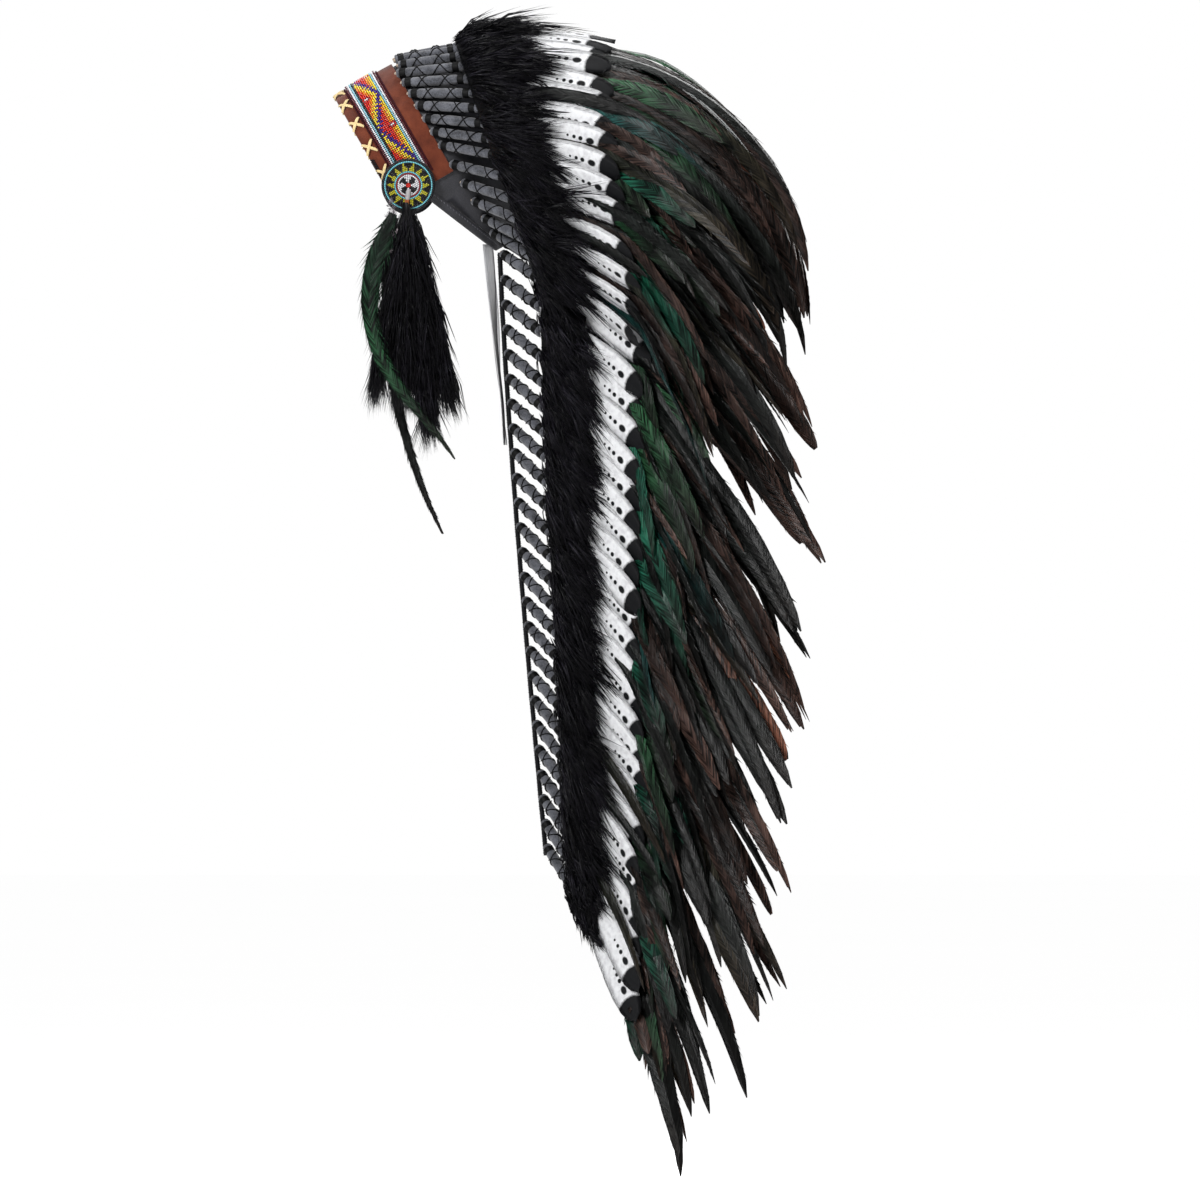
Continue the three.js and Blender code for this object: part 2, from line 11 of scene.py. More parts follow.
import bmesh
import bpy
import numpy as np
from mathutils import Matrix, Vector


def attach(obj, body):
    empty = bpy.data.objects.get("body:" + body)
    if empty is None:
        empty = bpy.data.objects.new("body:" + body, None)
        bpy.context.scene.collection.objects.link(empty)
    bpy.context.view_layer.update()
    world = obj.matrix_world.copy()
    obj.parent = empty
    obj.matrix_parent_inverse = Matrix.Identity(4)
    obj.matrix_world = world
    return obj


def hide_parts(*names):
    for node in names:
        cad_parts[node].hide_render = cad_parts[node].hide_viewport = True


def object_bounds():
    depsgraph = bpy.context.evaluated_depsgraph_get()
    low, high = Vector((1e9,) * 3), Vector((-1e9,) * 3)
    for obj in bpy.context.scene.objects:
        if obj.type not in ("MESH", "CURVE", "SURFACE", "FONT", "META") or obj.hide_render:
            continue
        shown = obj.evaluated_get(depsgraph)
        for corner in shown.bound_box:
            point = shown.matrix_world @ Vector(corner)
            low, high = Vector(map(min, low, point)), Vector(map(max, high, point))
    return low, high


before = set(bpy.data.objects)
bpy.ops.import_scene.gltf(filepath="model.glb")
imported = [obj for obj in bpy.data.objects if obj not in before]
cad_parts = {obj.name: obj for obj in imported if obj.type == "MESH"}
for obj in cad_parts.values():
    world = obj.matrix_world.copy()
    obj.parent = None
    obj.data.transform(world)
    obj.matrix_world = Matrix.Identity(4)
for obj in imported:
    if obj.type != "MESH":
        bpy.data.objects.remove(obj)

CAD_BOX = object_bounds()
LOG = logging.getLogger("headdress")
MM = 0.001
Points = np.ndarray


# ---------------------------------------------------------------- the hat's own directions and the row of feathers


@dataclass(frozen=True)
class Hat:
    """The ring on which the feather row starts, in the hat's own directions."""

    front: float = 104.0
    side: float = 78.0
    lean: float = math.radians(60)

    def point(self, front: Points, left: Points, up: Points) -> Points:
        """Gives points in the frame, in millimetres.

        Args:
            front: How far towards the brow.
            left: How far towards the wearer's left.
            up: How far along the hat's axis.

        Returns:
            An array with one row of x, y, z for each value.
        """
        front, left, up = np.broadcast_arrays(front, left, up)
        c, s = math.cos(self.lean), math.sin(self.lean)
        return np.stack([-c * front + s * up, -1.0 * left, s * front + c * up], axis=-1).astype(float)

    def wall(self, degrees: Points, outside: Points, up: Points) -> Points:
        """Gives points of the hat wall at an angle from the front, this far outside the ring, at this height."""
        a = np.radians(degrees)
        return self.point((self.front + outside) * np.cos(a), (self.side + outside) * np.sin(a), up)

    def angle_at(self, arc: Points) -> Points:
        """Gives the angle from the front at which the ring has run this many millimetres."""
        a = np.radians(np.arange(0, 181, 0.25))
        speed = np.hypot(self.front * np.sin(a), self.side * np.cos(a))
        run = np.concatenate([[0.0], np.cumsum((speed[1:] + speed[:-1]) / 2 * np.diff(a))])
        return np.sign(arc) * np.degrees(np.interp(np.abs(arc), run, a))


HAT = Hat()


@dataclass(frozen=True)
class RowShape:
    """How a unit of the feather row stands: degrees, and millimetres for lengths."""

    row: int
    pitch: float
    flare: float
    length: float
    fall: float
    bend: float
    fur: float


ROW_SHAPES = (
    RowShape(0, 11, 0, 560, 97, 1.15, 9),
    RowShape(1, 10, 6, 560, 95, 1.15, 9),
    RowShape(3, 6, 15, 530, 88, 1.25, 13),
    RowShape(6, -3, 24, 500, 80, 1.35, 18),
    RowShape(8, -8, 28, 480, 74, 1.3, 20),
    RowShape(10, -14, 30, 480, 66, 1.3, 22),
    RowShape(12, -23, 31, 485, 62, 1.3, 22),
    RowShape(14, -32, 32, 485, 60, 1.3, 22),
    RowShape(16, -38, 31, 525, 62, 1.3, 22),
    RowShape(24, -44, 31, 495, 63, 1.3, 22),
    RowShape(32, -49, 30, 475, 68, 1.3, 22),
    RowShape(39, -58, 29, 375, 80, 1.3, 22),
)
UNEVEN = (0.96, 0.93, 1.02, 0.9, 0.98, 0.94, 1.02, 0.96)


@dataclass(frozen=True)
class Trail:
    """The cloth strip that hangs from the nape."""

    top: float = -95.0
    bottom: float = -668.0
    first_unit: float = -91.0
    last_unit: float = -658.0
    x: float = 51.0
    sweep_back: float = 44.0
    sweep_bend: float = 1.25
    half_width: float = 22.0
    wall: float = 2.0
    cord: float = 3.0
    wrap_start: float = 2.4

    def x_at(self, z: Points) -> Points:
        """Gives where the middle of the strip is at this height."""
        share = np.clip((self.top - z) / (self.top - self.bottom), 0, 1)
        return self.x + self.sweep_back * share**self.sweep_bend


TRAIL = Trail()
CROWN_LAST = 14
TRAIL_FIRST = 15
TRAIL_LAST = 39
CROWN_WRAP = 62.0
TRAIL_WRAP = 54.0


class Side(Enum):
    """The wearer's left, as it is written, or the right, mirrored."""

    LEFT = 1
    RIGHT = -1


CROWN_PITCH, CROWN_PITCH_ROWS, CROWN_SIDE_PITCH = 15.0, 9.0, 21.0  # how far apart the crown's units stand
CROWN_CLEAR, CROWN_FOOT = 2.0, 3.4  # how far off the ring, and how far above it, the crown's units start
CORD_GAP = 0.4  # between the trail's cloth and its edge cord
LINE_PAST_TIP, LINE_STEPS = 1.06, 72  # a unit's line runs on a little past its plume
START_RISE, DROP_RISE, TWIST_RISE, SIDE_RISE = 60, 130, 90, 60  # the lengths over which each tweak sets in


@dataclass(frozen=True)
class Tweak:
    """How one feather differs from its unit's own line: turns in degrees, and distances in millimetres.

    The shaft rises and turns from its foot, and drops from a distance late past its wrap on. The vane twists about
    the shaft from there on, rolls with its unit, and shifts sideways from the unit's line.
    """

    rise: float = 0.0
    turn: float = 0.0
    twist: float = 0.0
    shift: float = 0.0
    late: float = 0.0
    roll: float = 0.0
    drop: float = 0.0


@dataclass
class Path:
    """A line in space with its own sideways and outward directions, sampled along its length in millimetres."""

    distance: Points
    place: Points
    heading: Points
    sideways: Points
    outward: Points

    def at(self, along: Points, across: Points, height: Points) -> Points:
        """Gives points at distances along, across and above the line."""
        along = np.asarray(along, float)
        last = self.distance[-1]
        inside = np.clip(along, 0, last)

        def read(values: Points) -> Points:
            return np.stack([np.interp(inside, self.distance, values[:, i]) for i in range(3)], axis=-1)

        heading = read(self.heading)
        beyond = (along - inside)[:, None]
        return (read(self.place) + heading * beyond + read(self.sideways) * np.asarray(across, float)[:, None]
                + read(self.outward) * np.asarray(height, float)[:, None])


def row_value(key: str, row: float) -> float:
    """Gives a column of the row table between its rows."""
    return float(np.interp(row, [r.row for r in ROW_SHAPES], [getattr(r, key) for r in ROW_SHAPES]))


def base_point(row: float) -> Points:
    """Gives the place of a unit on the row's base line: round the ring to the nape, then down the trail's left cord."""
    if row <= CROWN_LAST + 0.5:
        arc = CROWN_PITCH * min(row, CROWN_PITCH_ROWS) + CROWN_SIDE_PITCH * max(row - CROWN_PITCH_ROWS, 0.0)
        return HAT.wall(HAT.angle_at(arc), CROWN_CLEAR, CROWN_FOOT).reshape(3)
    z = TRAIL.first_unit + (TRAIL.last_unit - TRAIL.first_unit) * (row - TRAIL_FIRST) / (TRAIL_LAST - TRAIL_FIRST)
    return np.array([float(TRAIL.x_at(z)), -(TRAIL.half_width + CORD_GAP + TRAIL.cord), z])


def unit_path(row: float, side: Side, tweak: Tweak = Tweak(), crown: bool | None = None) -> Path:
    """Works out the line of a feather unit.

    Args:
        row: The unit's number from the middle of the crown, whole or between two units.
        side: The wearer's left or right.
        tweak: How this feather differs from its unit.
        crown: Whether the row belongs to the crown, if that isn't told by its number.

    Returns:
        The line, from the foot of the wrap to the tip of the plume.
    """
    on_crown = row <= CROWN_LAST if crown is None else crown
    wrap = CROWN_WRAP if on_crown else TRAIL_WRAP
    full = row_value("length", row)
    pitch, flare = math.radians(row_value("pitch", row)), math.radians(row_value("flare", row))
    rise = math.asin(math.sin(pitch) * math.cos(flare))
    azimuth = math.atan2(math.sin(flare), math.cos(pitch) * math.cos(flare))
    fall = math.radians(row_value("fall", row))
    bend = row_value("bend", row)
    distance = np.linspace(0, full * LINE_PAST_TIP, LINE_STEPS)
    middle = (distance[1:] + distance[:-1]) / 2

    def angles(s: Points) -> tuple[Points, Points]:
        share = np.clip((s - wrap) / (full - wrap), 0, 1)
        start = np.clip((s - wrap * 0.6) / START_RISE, 0, 1)
        up = rise + math.radians(tweak.rise) * start
        hang = np.clip((s - wrap - tweak.late) / DROP_RISE, 0, 1)
        risen = up + (-fall - up) * share**bend - math.radians(tweak.drop) * hang
        return risen, azimuth + math.radians(tweak.turn) * start

    def heading_at(s: Points) -> Points:
        r, a = angles(s)
        return np.stack([np.cos(r) * np.cos(a), -np.cos(r) * np.sin(a), np.sin(r)], axis=-1)

    base = base_point(row)
    first, last = (0.0, float(CROWN_LAST)) if on_crown else (float(TRAIL_FIRST), float(TRAIL_LAST))
    heading0 = heading_at(np.array([0.0]))[0]
    if not on_crown:
        base = base + heading0 * TRAIL.wrap_start
    if row < 0.5:
        tangent = np.array([0.0, -1.0, 0.0])
    else:
        tangent = base_point(min(row + 1, last)) - base_point(max(row - 1, first))
    tangent = tangent - heading0 * tangent.dot(heading0)
    tangent /= np.linalg.norm(tangent)
    r, a = angles(distance)
    level = np.stack([np.sin(a), np.cos(a), np.zeros_like(a)], axis=-1)
    upright = np.stack([-np.sin(r) * np.cos(a), np.sin(r) * np.sin(a), np.cos(r)], axis=-1)
    sideways = level * tangent.dot(level[0]) + upright * tangent.dot(upright[0])
    heading = heading_at(distance)
    outward = np.cross(sideways, heading)
    place = base + np.concatenate([[[0, 0, 0]], np.cumsum(heading_at(middle) * np.diff(distance)[:, None], axis=0)])
    if tweak.twist or tweak.shift or tweak.roll:
        turn = np.radians(tweak.twist) * np.clip((distance - wrap - tweak.late) / TWIST_RISE, 0, 1)
        turn += np.radians(tweak.roll) * np.clip((distance - wrap) / SIDE_RISE, 0, 1)
        place = place + sideways * (tweak.shift * np.clip((distance - wrap) / SIDE_RISE, 0, 1))[:, None]
        sideways, outward = (sideways * np.cos(turn)[:, None] + outward * np.sin(turn)[:, None],
                             outward * np.cos(turn)[:, None] - sideways * np.sin(turn)[:, None])
    path = Path(distance, place, heading, sideways, outward)
    if side is Side.RIGHT:
        for values in (path.place, path.heading, path.sideways, path.outward):
            values[:, 1] *= -1
    return path


def roll_of(row: float) -> float:
    """Gives how far a unit's feathers turn to lie flat against the side of the fan, in degrees."""
    return float(np.interp(row, [7, 10, 12, 14, 14.5, 35, 39], [0, 8, 14, 18, 6, 8, 30]))


def wrap_length(row: float) -> float:
    """Gives how long a unit's wrap is."""
    return CROWN_WRAP if row <= CROWN_LAST else TRAIL_WRAP


# ---------------------------------------------------------------- meshes


def linear(colour: str) -> tuple[float, float, float]:
    """Turns an sRGB hex colour into linear red, green and blue."""
    parts = [int(colour[i:i + 2], 16) / 255 for i in (1, 3, 5)]
    return tuple(p / 12.92 if p <= 0.04045 else ((p + 0.055) / 1.055) ** 2.4 for p in parts)


@dataclass
class Soup:
    """Triangles of many small closed shapes, gathered for one mesh. Places are in millimetres."""

    points: list[Points] = field(default_factory=list)
    triangles: list[Points] = field(default_factory=list)
    tints: list[Points] = field(default_factory=list)
    marks: list[Points] = field(default_factory=list)
    count: int = 0

    def add(self, points: Points, triangles: Points, tint: Points, marks: Points | None = None) -> None:
        """Adds closed shapes.

        Args:
            points: One row of x, y, z for each corner.
            triangles: Corner numbers, three a row.
            tint: One linear colour, or one for each corner.
            marks: What the pattern reads at each corner: along and across in millimetres, and a chance value.
        """
        self.points.append(points)
        self.triangles.append(triangles + self.count)
        self.tints.append(np.broadcast_to(np.asarray(tint, float), (len(points), 3)))
        self.marks.append(np.zeros((len(points), 3)) if marks is None else marks)
        self.count += len(points)

    def make(self, name: str, smooth: bool) -> bpy.types.Object:
        """Makes the mesh object.

        Args:
            name: The piece's name.
            smooth: Whether its faces are shaded smooth.

        Returns:
            The object, at the origin, with attributes tint and marks.
        """
        points = np.concatenate(self.points) * MM
        triangles = np.concatenate(self.triangles).astype(np.int32)
        mesh = bpy.data.meshes.new(name)
        mesh.vertices.add(len(points))
        mesh.loops.add(triangles.size)
        mesh.polygons.add(len(triangles))
        mesh.vertices.foreach_set("co", points.astype(np.float32).ravel())
        mesh.polygons.foreach_set("loop_start", np.arange(0, triangles.size, 3, dtype=np.int32))
        mesh.loops.foreach_set("vertex_index", triangles.ravel())
        mesh.polygons.foreach_set("use_smooth", np.full(len(triangles), smooth))
        mesh.update(calc_edges=True)
        tint = mesh.attributes.new("tint", "FLOAT_COLOR", "POINT")
        tint.data.foreach_set("color", np.c_[np.concatenate(self.tints),
                                             np.ones(len(points))].astype(np.float32).ravel())
        marks = mesh.attributes.new("marks", "FLOAT_VECTOR", "POINT")
        marks.data.foreach_set("vector", np.concatenate(self.marks).astype(np.float32).ravel())
        return new_object(name, mesh)


def new_object(name: str, mesh: bpy.types.Mesh) -> bpy.types.Object:
    """Puts a mesh into the scene at the origin."""
    piece = bpy.data.objects.new(name, mesh)
    bpy.context.scene.collection.objects.link(piece)
    return piece


def finish_bmesh(bm: bmesh.types.BMesh, name: str, smooth: bool = True, recalc: bool = True) -> bpy.types.Object:
    """Closes a bmesh into an object.

    Args:
        bm: The shape, in metres.
        name: The piece's name.
        smooth: Whether its faces are shaded smooth.
        recalc: Whether its faces are turned outwards here.

    Returns:
        The object, at the origin.
    """
    if recalc:
        bmesh.ops.recalc_face_normals(bm, faces=bm.faces)
    for face in bm.faces:
        face.smooth = smooth
    mesh = bpy.data.meshes.new(name)
    bm.to_mesh(mesh)
    bm.free()
    return new_object(name, mesh)


def facing_out(points: Points, triangles: Points) -> Points:
    """Turns the faces of one closed shape outwards."""
    a, b, c = (points[triangles[:, i]] for i in range(3))
    volume = np.einsum("ij,ij->i", a - points.mean(axis=0), np.cross(b - points.mean(axis=0),
                                                                     c - points.mean(axis=0))).sum()
    return triangles if volume > 0 else triangles[:, ::-1]


def loft(rings: Points) -> Points:
    """Gives the triangles of a closed shape through rings.

    Args:
        rings: An array of rings by points by x, y, z.

    Returns:
        Corner numbers into the flattened rings, with each end closed by a fan.
    """
    count, sides = rings.shape[:2]
    ring, i = np.meshgrid(np.arange(count - 1), np.arange(sides), indexing="ij")
    a = (ring * sides + i).ravel()
    b = (ring * sides + (i + 1) % sides).ravel()
    body = np.concatenate([np.c_[a, b, b + sides], np.c_[a, b + sides, a + sides]])
    fan = np.c_[np.zeros(sides - 2, int), np.arange(2, sides), np.arange(1, sides - 1)]
    far = np.c_[np.zeros(sides - 2, int), np.arange(1, sides - 1), np.arange(2, sides)] + (count - 1) * sides
    return facing_out(rings.reshape(-1, 3), np.concatenate([body, fan, far]))


# The corners of one strand: three at the root, three at its middle, one at its tip.
STRAND_FACES = np.array([[0, 2, 1], [0, 3, 2], [0, 1, 3], [1, 2, 4], [2, 3, 4], [3, 1, 4]])
BARB_FACES = np.array([[0, 1, 2], [0, 3, 1], [1, 3, 2], [2, 3, 0]])


def repeat_faces(faces: Points, points: Points) -> Points:
    """Repeats a small closed shape's faces for each row of points, and turns each shape outwards.

    Args:
        faces: The shape's corner numbers.
        points: Shapes by corners by x, y, z.

    Returns:
        Corner numbers into the flattened points.
    """
    count, corners = points.shape[:2]
    middle = points.mean(axis=1, keepdims=True)
    a, b, c = (points[:, faces[:, i]] - middle for i in range(3))
    volume = np.einsum("sfi,sfi->s", a, np.cross(b, c))
    every = faces[None] + (np.arange(count) * corners)[:, None, None]
    return np.where((volume > 0)[:, None, None], every, every[:, :, ::-1]).reshape(-1, 3)


def unit(vectors: Points) -> Points:
    """Gives vectors of length one."""
    return vectors / np.maximum(np.linalg.norm(vectors, axis=-1, keepdims=True), 1e-9)


# ---------------------------------------------------------------- materials


def add_node(tree: bpy.types.NodeTree, kind: str, inputs: dict | None = None, **settings: object) -> bpy.types.Node:
    """Adds one node.

    Args:
        tree: The material's node tree.
        kind: The node's type.
        inputs: Sockets by name or number, each with a value or with the socket that feeds it.
        settings: The node's own properties.

    Returns:
        The node.
    """
    node = tree.nodes.new(kind)
    for key, value in settings.items():
        setattr(node, key, value)
    for key, value in (inputs or {}).items():
        if isinstance(value, bpy.types.NodeSocket):
            tree.links.new(value, node.inputs[key])
        else:
            node.inputs[key].default_value = value
    return node


def per_metre(size_mm: float) -> float:
    """Gives the texture scale at which one feature is this many millimetres."""
    return 1.0 / (size_mm * MM)


@dataclass(frozen=True)
class Finish:
    """What every finish has: its name, and the plain values of its surface."""

    name: str
    roughness: float
    ior: float = 1.5
    sheen: float = 0.0
    sheen_roughness: float = 0.4
    coat: float = 0.0
    specular: float = 0.5
    anisotropic: float = 0.0

    def start(self) -> tuple[bpy.types.Material, bpy.types.NodeTree, bpy.types.Node]:
        """Makes the material with its shader and gives all three."""
        material = bpy.data.materials.new(self.name)
        material.use_nodes = True
        tree = material.node_tree
        tree.nodes.clear()
        shader = add_node(tree, "ShaderNodeBsdfPrincipled", {
            "Roughness": self.roughness, "IOR": self.ior, "Sheen Weight": self.sheen,
            "Sheen Roughness": self.sheen_roughness,
            "Coat Weight": self.coat, "Coat Roughness": 0.15, "Specular IOR Level": self.specular,
            "Anisotropic": self.anisotropic})
        add_node(tree, "ShaderNodeOutputMaterial", {"Surface": shader.outputs[0]})
        return material, tree, shader

    def place(self, tree: bpy.types.NodeTree) -> bpy.types.NodeSocket:
        """Gives the piece's own coordinates, in metres."""
        return add_node(tree, "ShaderNodeTexCoord").outputs["Object"]

    def noise(self, tree: bpy.types.NodeTree, size_mm: float, detail: float = 3.0,
              vector: bpy.types.NodeSocket | None = None) -> bpy.types.NodeSocket:
        """Gives a noise value whose blots are this big."""
        return add_node(tree, "ShaderNodeTexNoise", {
            "Vector": vector or self.place(tree), "Scale": per_metre(size_mm), "Detail": detail}).outputs[0]

    def ramp(self, tree: bpy.types.NodeTree, value: bpy.types.NodeSocket,
             *stops: tuple[float, str]) -> bpy.types.NodeSocket:
        """Gives a colour that runs through the stops as the value grows."""
        node = add_node(tree, "ShaderNodeValToRGB", {0: value})
        elements = node.color_ramp.elements
        while len(elements) < len(stops):
            elements.new(0.5)
        for element, (at, colour) in zip(elements, stops):
            element.position = at
            element.color = (*linear(colour), 1)
        return node.outputs[0]

    def math(self, tree: bpy.types.NodeTree, operation: str, a: object, b: object = 0.0) -> bpy.types.NodeSocket:
        """Gives the result of one sum on sockets or numbers."""
        return add_node(tree, "ShaderNodeMath", {0: a, 1: b}, operation=operation).outputs[0]

    def mix(self, tree: bpy.types.NodeTree, share: object, a: object, b: object,
            blend: str = "MIX") -> bpy.types.NodeSocket:
        """Gives a mix of two colours, each a socket or an sRGB hex colour."""
        a, b = ((*linear(c), 1) if isinstance(c, str) else c for c in (a, b))
        return add_node(tree, "ShaderNodeMix", {0: share, 6: a, 7: b}, data_type="RGBA", blend_type=blend).outputs[2]

    def bump(self, tree: bpy.types.NodeTree, shader: bpy.types.Node, height: bpy.types.NodeSocket, depth_mm: float,
             strength: float = 1.0) -> None:
        """Raises the surface by the height, this deep."""
        node = add_node(tree, "ShaderNodeBump", {"Height": height, "Distance": depth_mm * MM, "Strength": strength})
        tree.links.new(node.outputs[0], shader.inputs["Normal"])


@dataclass(frozen=True)
class Leather(Finish):
    """Chrome-tanned leather: a fine pebbled grain that catches a soft light on its top."""

    dark: str = "#1C1C20"
    light: str = "#34343A"
    grain_mm: float = 1.1

    def build(self) -> bpy.types.Material:
        """Makes the material."""
        material, tree, shader = self.start()
        place = self.place(tree)
        cells = add_node(tree, "ShaderNodeTexVoronoi", {"Vector": place, "Scale": per_metre(self.grain_mm)}).outputs[0]
        cloud = self.noise(tree, 14, 4, place)
        both = self.math(tree, "ADD", self.math(tree, "MULTIPLY", cells, 0.35),
                         self.math(tree, "MULTIPLY", cloud, 0.75))
        tree.links.new(self.ramp(tree, both, (0.3, self.dark), (0.75, self.light)), shader.inputs["Base Color"])
        self.bump(tree, shader, cells, 0.18, 0.6)
        return material


@dataclass(frozen=True)
class Suede(Finish):
    """Split leather with a brushed nap: matt, with soft blotches where the nap lies another way."""

    dark: str = "#4A2014"
    middle: str = "#652F1D"
    light: str = "#7A3D27"
    nap_mm: float = 0.7

    def build(self) -> bpy.types.Material:
        """Makes the material."""
        material, tree, shader = self.start()
        place = self.place(tree)
        blotch = self.noise(tree, 16, 5, place)
        nap = self.noise(tree, self.nap_mm, 2, place)
        value = self.math(tree, "ADD", self.math(tree, "MULTIPLY", blotch, 0.8), self.math(tree, "MULTIPLY", nap, 0.25))
        tree.links.new(self.ramp(tree, value, (0.32, self.dark), (0.52, self.middle), (0.74, self.light)),
                       shader.inputs["Base Color"])
        self.bump(tree, shader, nap, 0.25, 0.7)
        return material


@dataclass(frozen=True)
class Tinted(Finish):
    """A finish whose colour comes from each small part of the piece, with a fine mottle over it."""

    mottle_mm: float = 2.0
    mottle: float = 0.3
    relief_mm: float = 0.0

    def build(self) -> bpy.types.Material:
        """Makes the material."""
        material, tree, shader = self.start()
        tint = add_node(tree, "ShaderNodeAttribute", attribute_name="tint").outputs["Color"]
        noise = self.noise(tree, self.mottle_mm, 3)
        low, high = 1 - self.mottle, 1 + self.mottle
        scale = add_node(tree, "ShaderNodeMapRange", {"Value": noise, 1: 0.3, 2: 0.7, 3: low, 4: high}).outputs[0]
        grey = add_node(tree, "ShaderNodeCombineColor", {0: scale, 1: scale, 2: scale}).outputs[0]
        tree.links.new(self.mix(tree, 1.0, tint, grey, "MULTIPLY"), shader.inputs["Base Color"])
        if self.relief_mm:
            self.bump(tree, shader, noise, self.relief_mm, 0.8)
        return material


@dataclass(frozen=True)
class Felt(Finish):
    """Pressed wool felt: short crossed fibres, in random cloudy patches from its own dark grey to a pale grey that is
    painted highlight.
    """

    dark: str = "#27282D"
    light: str = "#6B6D75"

    def build(self) -> bpy.types.Material:
        """Makes the material."""
        material, tree, shader = self.start()
        place = self.place(tree)
        fibre = self.noise(tree, 1.4, 4, place)
        cloud = self.noise(tree, 9, 2, place)
        value = self.math(tree, "ADD", self.math(tree, "MULTIPLY", fibre, 0.5), self.math(tree, "MULTIPLY", cloud, 0.5))
        # The pale end of the ramp is a painted highlight tone, laid in random cloudy patches.
        tree.links.new(self.ramp(tree, value, (0.34, self.dark), (0.66, self.light)), shader.inputs["Base Color"])
        self.bump(tree, shader, fibre, 0.35, 0.7)
        return material


@dataclass(frozen=True)
class WhiteFeather(Finish):
    """A trimmed goose feather, dyed black at its tip, with a row of painted dots on its shaft."""

    white: str = "#ECEDEF"
    shade: str = "#CFCFD2"
    black: str = "#0C0D10"
    # Each dot: how far from the tip, its half length and its half width, in millimetres.
    dots: tuple[tuple[float, float, float], ...] = ((34, 4.4, 3.1), (44.5, 2.3, 2.1), (51.5, 1.9, 1.8),
                                                    (58.5, 1.3, 1.2))
    cap_centre: float = 12.0
    cap_radius: float = 13.5

    def build(self) -> bpy.types.Material:
        """Makes the material."""
        material, tree, shader = self.start()
        marks = add_node(tree, "ShaderNodeAttribute", attribute_name="marks").outputs["Vector"]
        parts = add_node(tree, "ShaderNodeSeparateXYZ", {0: marks})
        to_tip, across, chance = parts.outputs
        wide = self.math(tree, "ABSOLUTE", across)
        # Barbs leave the shaft at about 35 degrees, half a millimetre apart; they are drawn 1.3 mm apart to show.
        barb = self.math(tree, "SINE", self.math(tree, "MULTIPLY",
                                                 self.math(tree, "ADD", to_tip,
                                                           self.math(tree, "MULTIPLY", wide, 1.4)), 4.8))
        noise = self.noise(tree, 5, 3)
        value = self.math(tree, "ADD", self.math(tree, "MULTIPLY", barb, 0.10), noise)
        colour = self.ramp(tree, value, (0.3, self.shade), (0.55, self.white))
        ragged = self.math(tree, "MULTIPLY", self.math(tree, "SUBTRACT", self.noise(tree, 2.2, 2), 0.5), 2.6)

        def blot(centre: float, half_length: float, half_width: float, soft: float) -> bpy.types.NodeSocket:
            """Gives 1 inside an oval on the shaft and 0 outside it."""
            x = self.math(tree, "DIVIDE", self.math(tree, "SUBTRACT", to_tip, centre), half_length)
            y = self.math(tree, "DIVIDE", across, half_width)
            far = self.math(tree, "SQRT", self.math(tree, "ADD", self.math(tree, "MULTIPLY", x, x),
                                                    self.math(tree, "MULTIPLY", y, y)))
            uneven = self.math(tree, "ADD", far, self.math(tree, "MULTIPLY", ragged, 0.06 if soft < 0.2 else 0.03))
            return add_node(tree, "ShaderNodeMapRange", {"Value": uneven, 1: 1 - soft, 2: 1 + soft, 3: 1.0,
                                                         4: 0.0}).outputs[0]

        near = add_node(tree, "ShaderNodeMapRange", {"Value": to_tip, 1: self.cap_centre - 1,
                                                     2: self.cap_centre + 1, 3: 1.0, 4: 0.0}).outputs[0]
        mask = self.math(tree, "MAXIMUM", near, blot(self.cap_centre, self.cap_radius, self.cap_radius * 1.35, 0.09))
        for centre, half_length, half_width in self.dots:
            mask = self.math(tree, "MAXIMUM", mask, blot(centre, half_length, half_width, 0.16))
        tree.links.new(self.mix(tree, mask, colour, self.black), shader.inputs["Base Color"])
        self.bump(tree, shader, barb, 0.12, 0.5)
        return material


@dataclass(frozen=True)
class DarkFeather(Finish):
    """A cock's tail feather: glossy black barbs with a green sheen that the tint carries, and barb streaks brightened
    into painted highlights.
    """

    def build(self) -> bpy.types.Material:
        """Makes the material."""
        material, tree, shader = self.start()
        tint = add_node(tree, "ShaderNodeAttribute", attribute_name="tint").outputs["Color"]
        marks = add_node(tree, "ShaderNodeAttribute", attribute_name="marks").outputs["Vector"]
        along, across, chance = add_node(tree, "ShaderNodeSeparateXYZ", {0: marks}).outputs
        # Barbs are a third of a millimetre apart; they are drawn as streaks about 2 mm apart to show.
        swept = self.math(tree, "SUBTRACT", along, self.math(tree, "MULTIPLY", self.math(tree, "ABSOLUTE", across),
                                                             2.2))
        lane = add_node(tree, "ShaderNodeCombineXYZ", {
            0: self.math(tree, "MULTIPLY", swept, 0.56), 1: self.math(tree, "MULTIPLY", across, 0.07),
            2: self.math(tree, "MULTIPLY", chance, 90.0)}).outputs[0]
        barb = add_node(tree, "ShaderNodeTexNoise", {"Vector": lane, "Scale": 1.0, "Detail": 2.0}).outputs[0]
        patch = self.noise(tree, 26, 3)
        value = self.math(tree, "ADD", self.math(tree, "MULTIPLY", barb, 0.72),
                          self.math(tree, "MULTIPLY", patch, 0.28))
        # The streaks scale the tint from a twentieth to over four times: the barbs' own pattern, with painted
        # highlights in the bright streaks along them.
        scale = add_node(tree, "ShaderNodeMapRange", {"Value": value, 1: 0.44, 2: 0.61, 3: 0.05, 4: 4.2}).outputs[0]
        grey = add_node(tree, "ShaderNodeCombineColor", {0: scale, 1: scale, 2: scale}).outputs[0]
        tree.links.new(self.mix(tree, 1.0, tint, grey, "MULTIPLY"), shader.inputs["Base Color"])
        self.bump(tree, shader, barb, 0.8, 0.8)
        return material


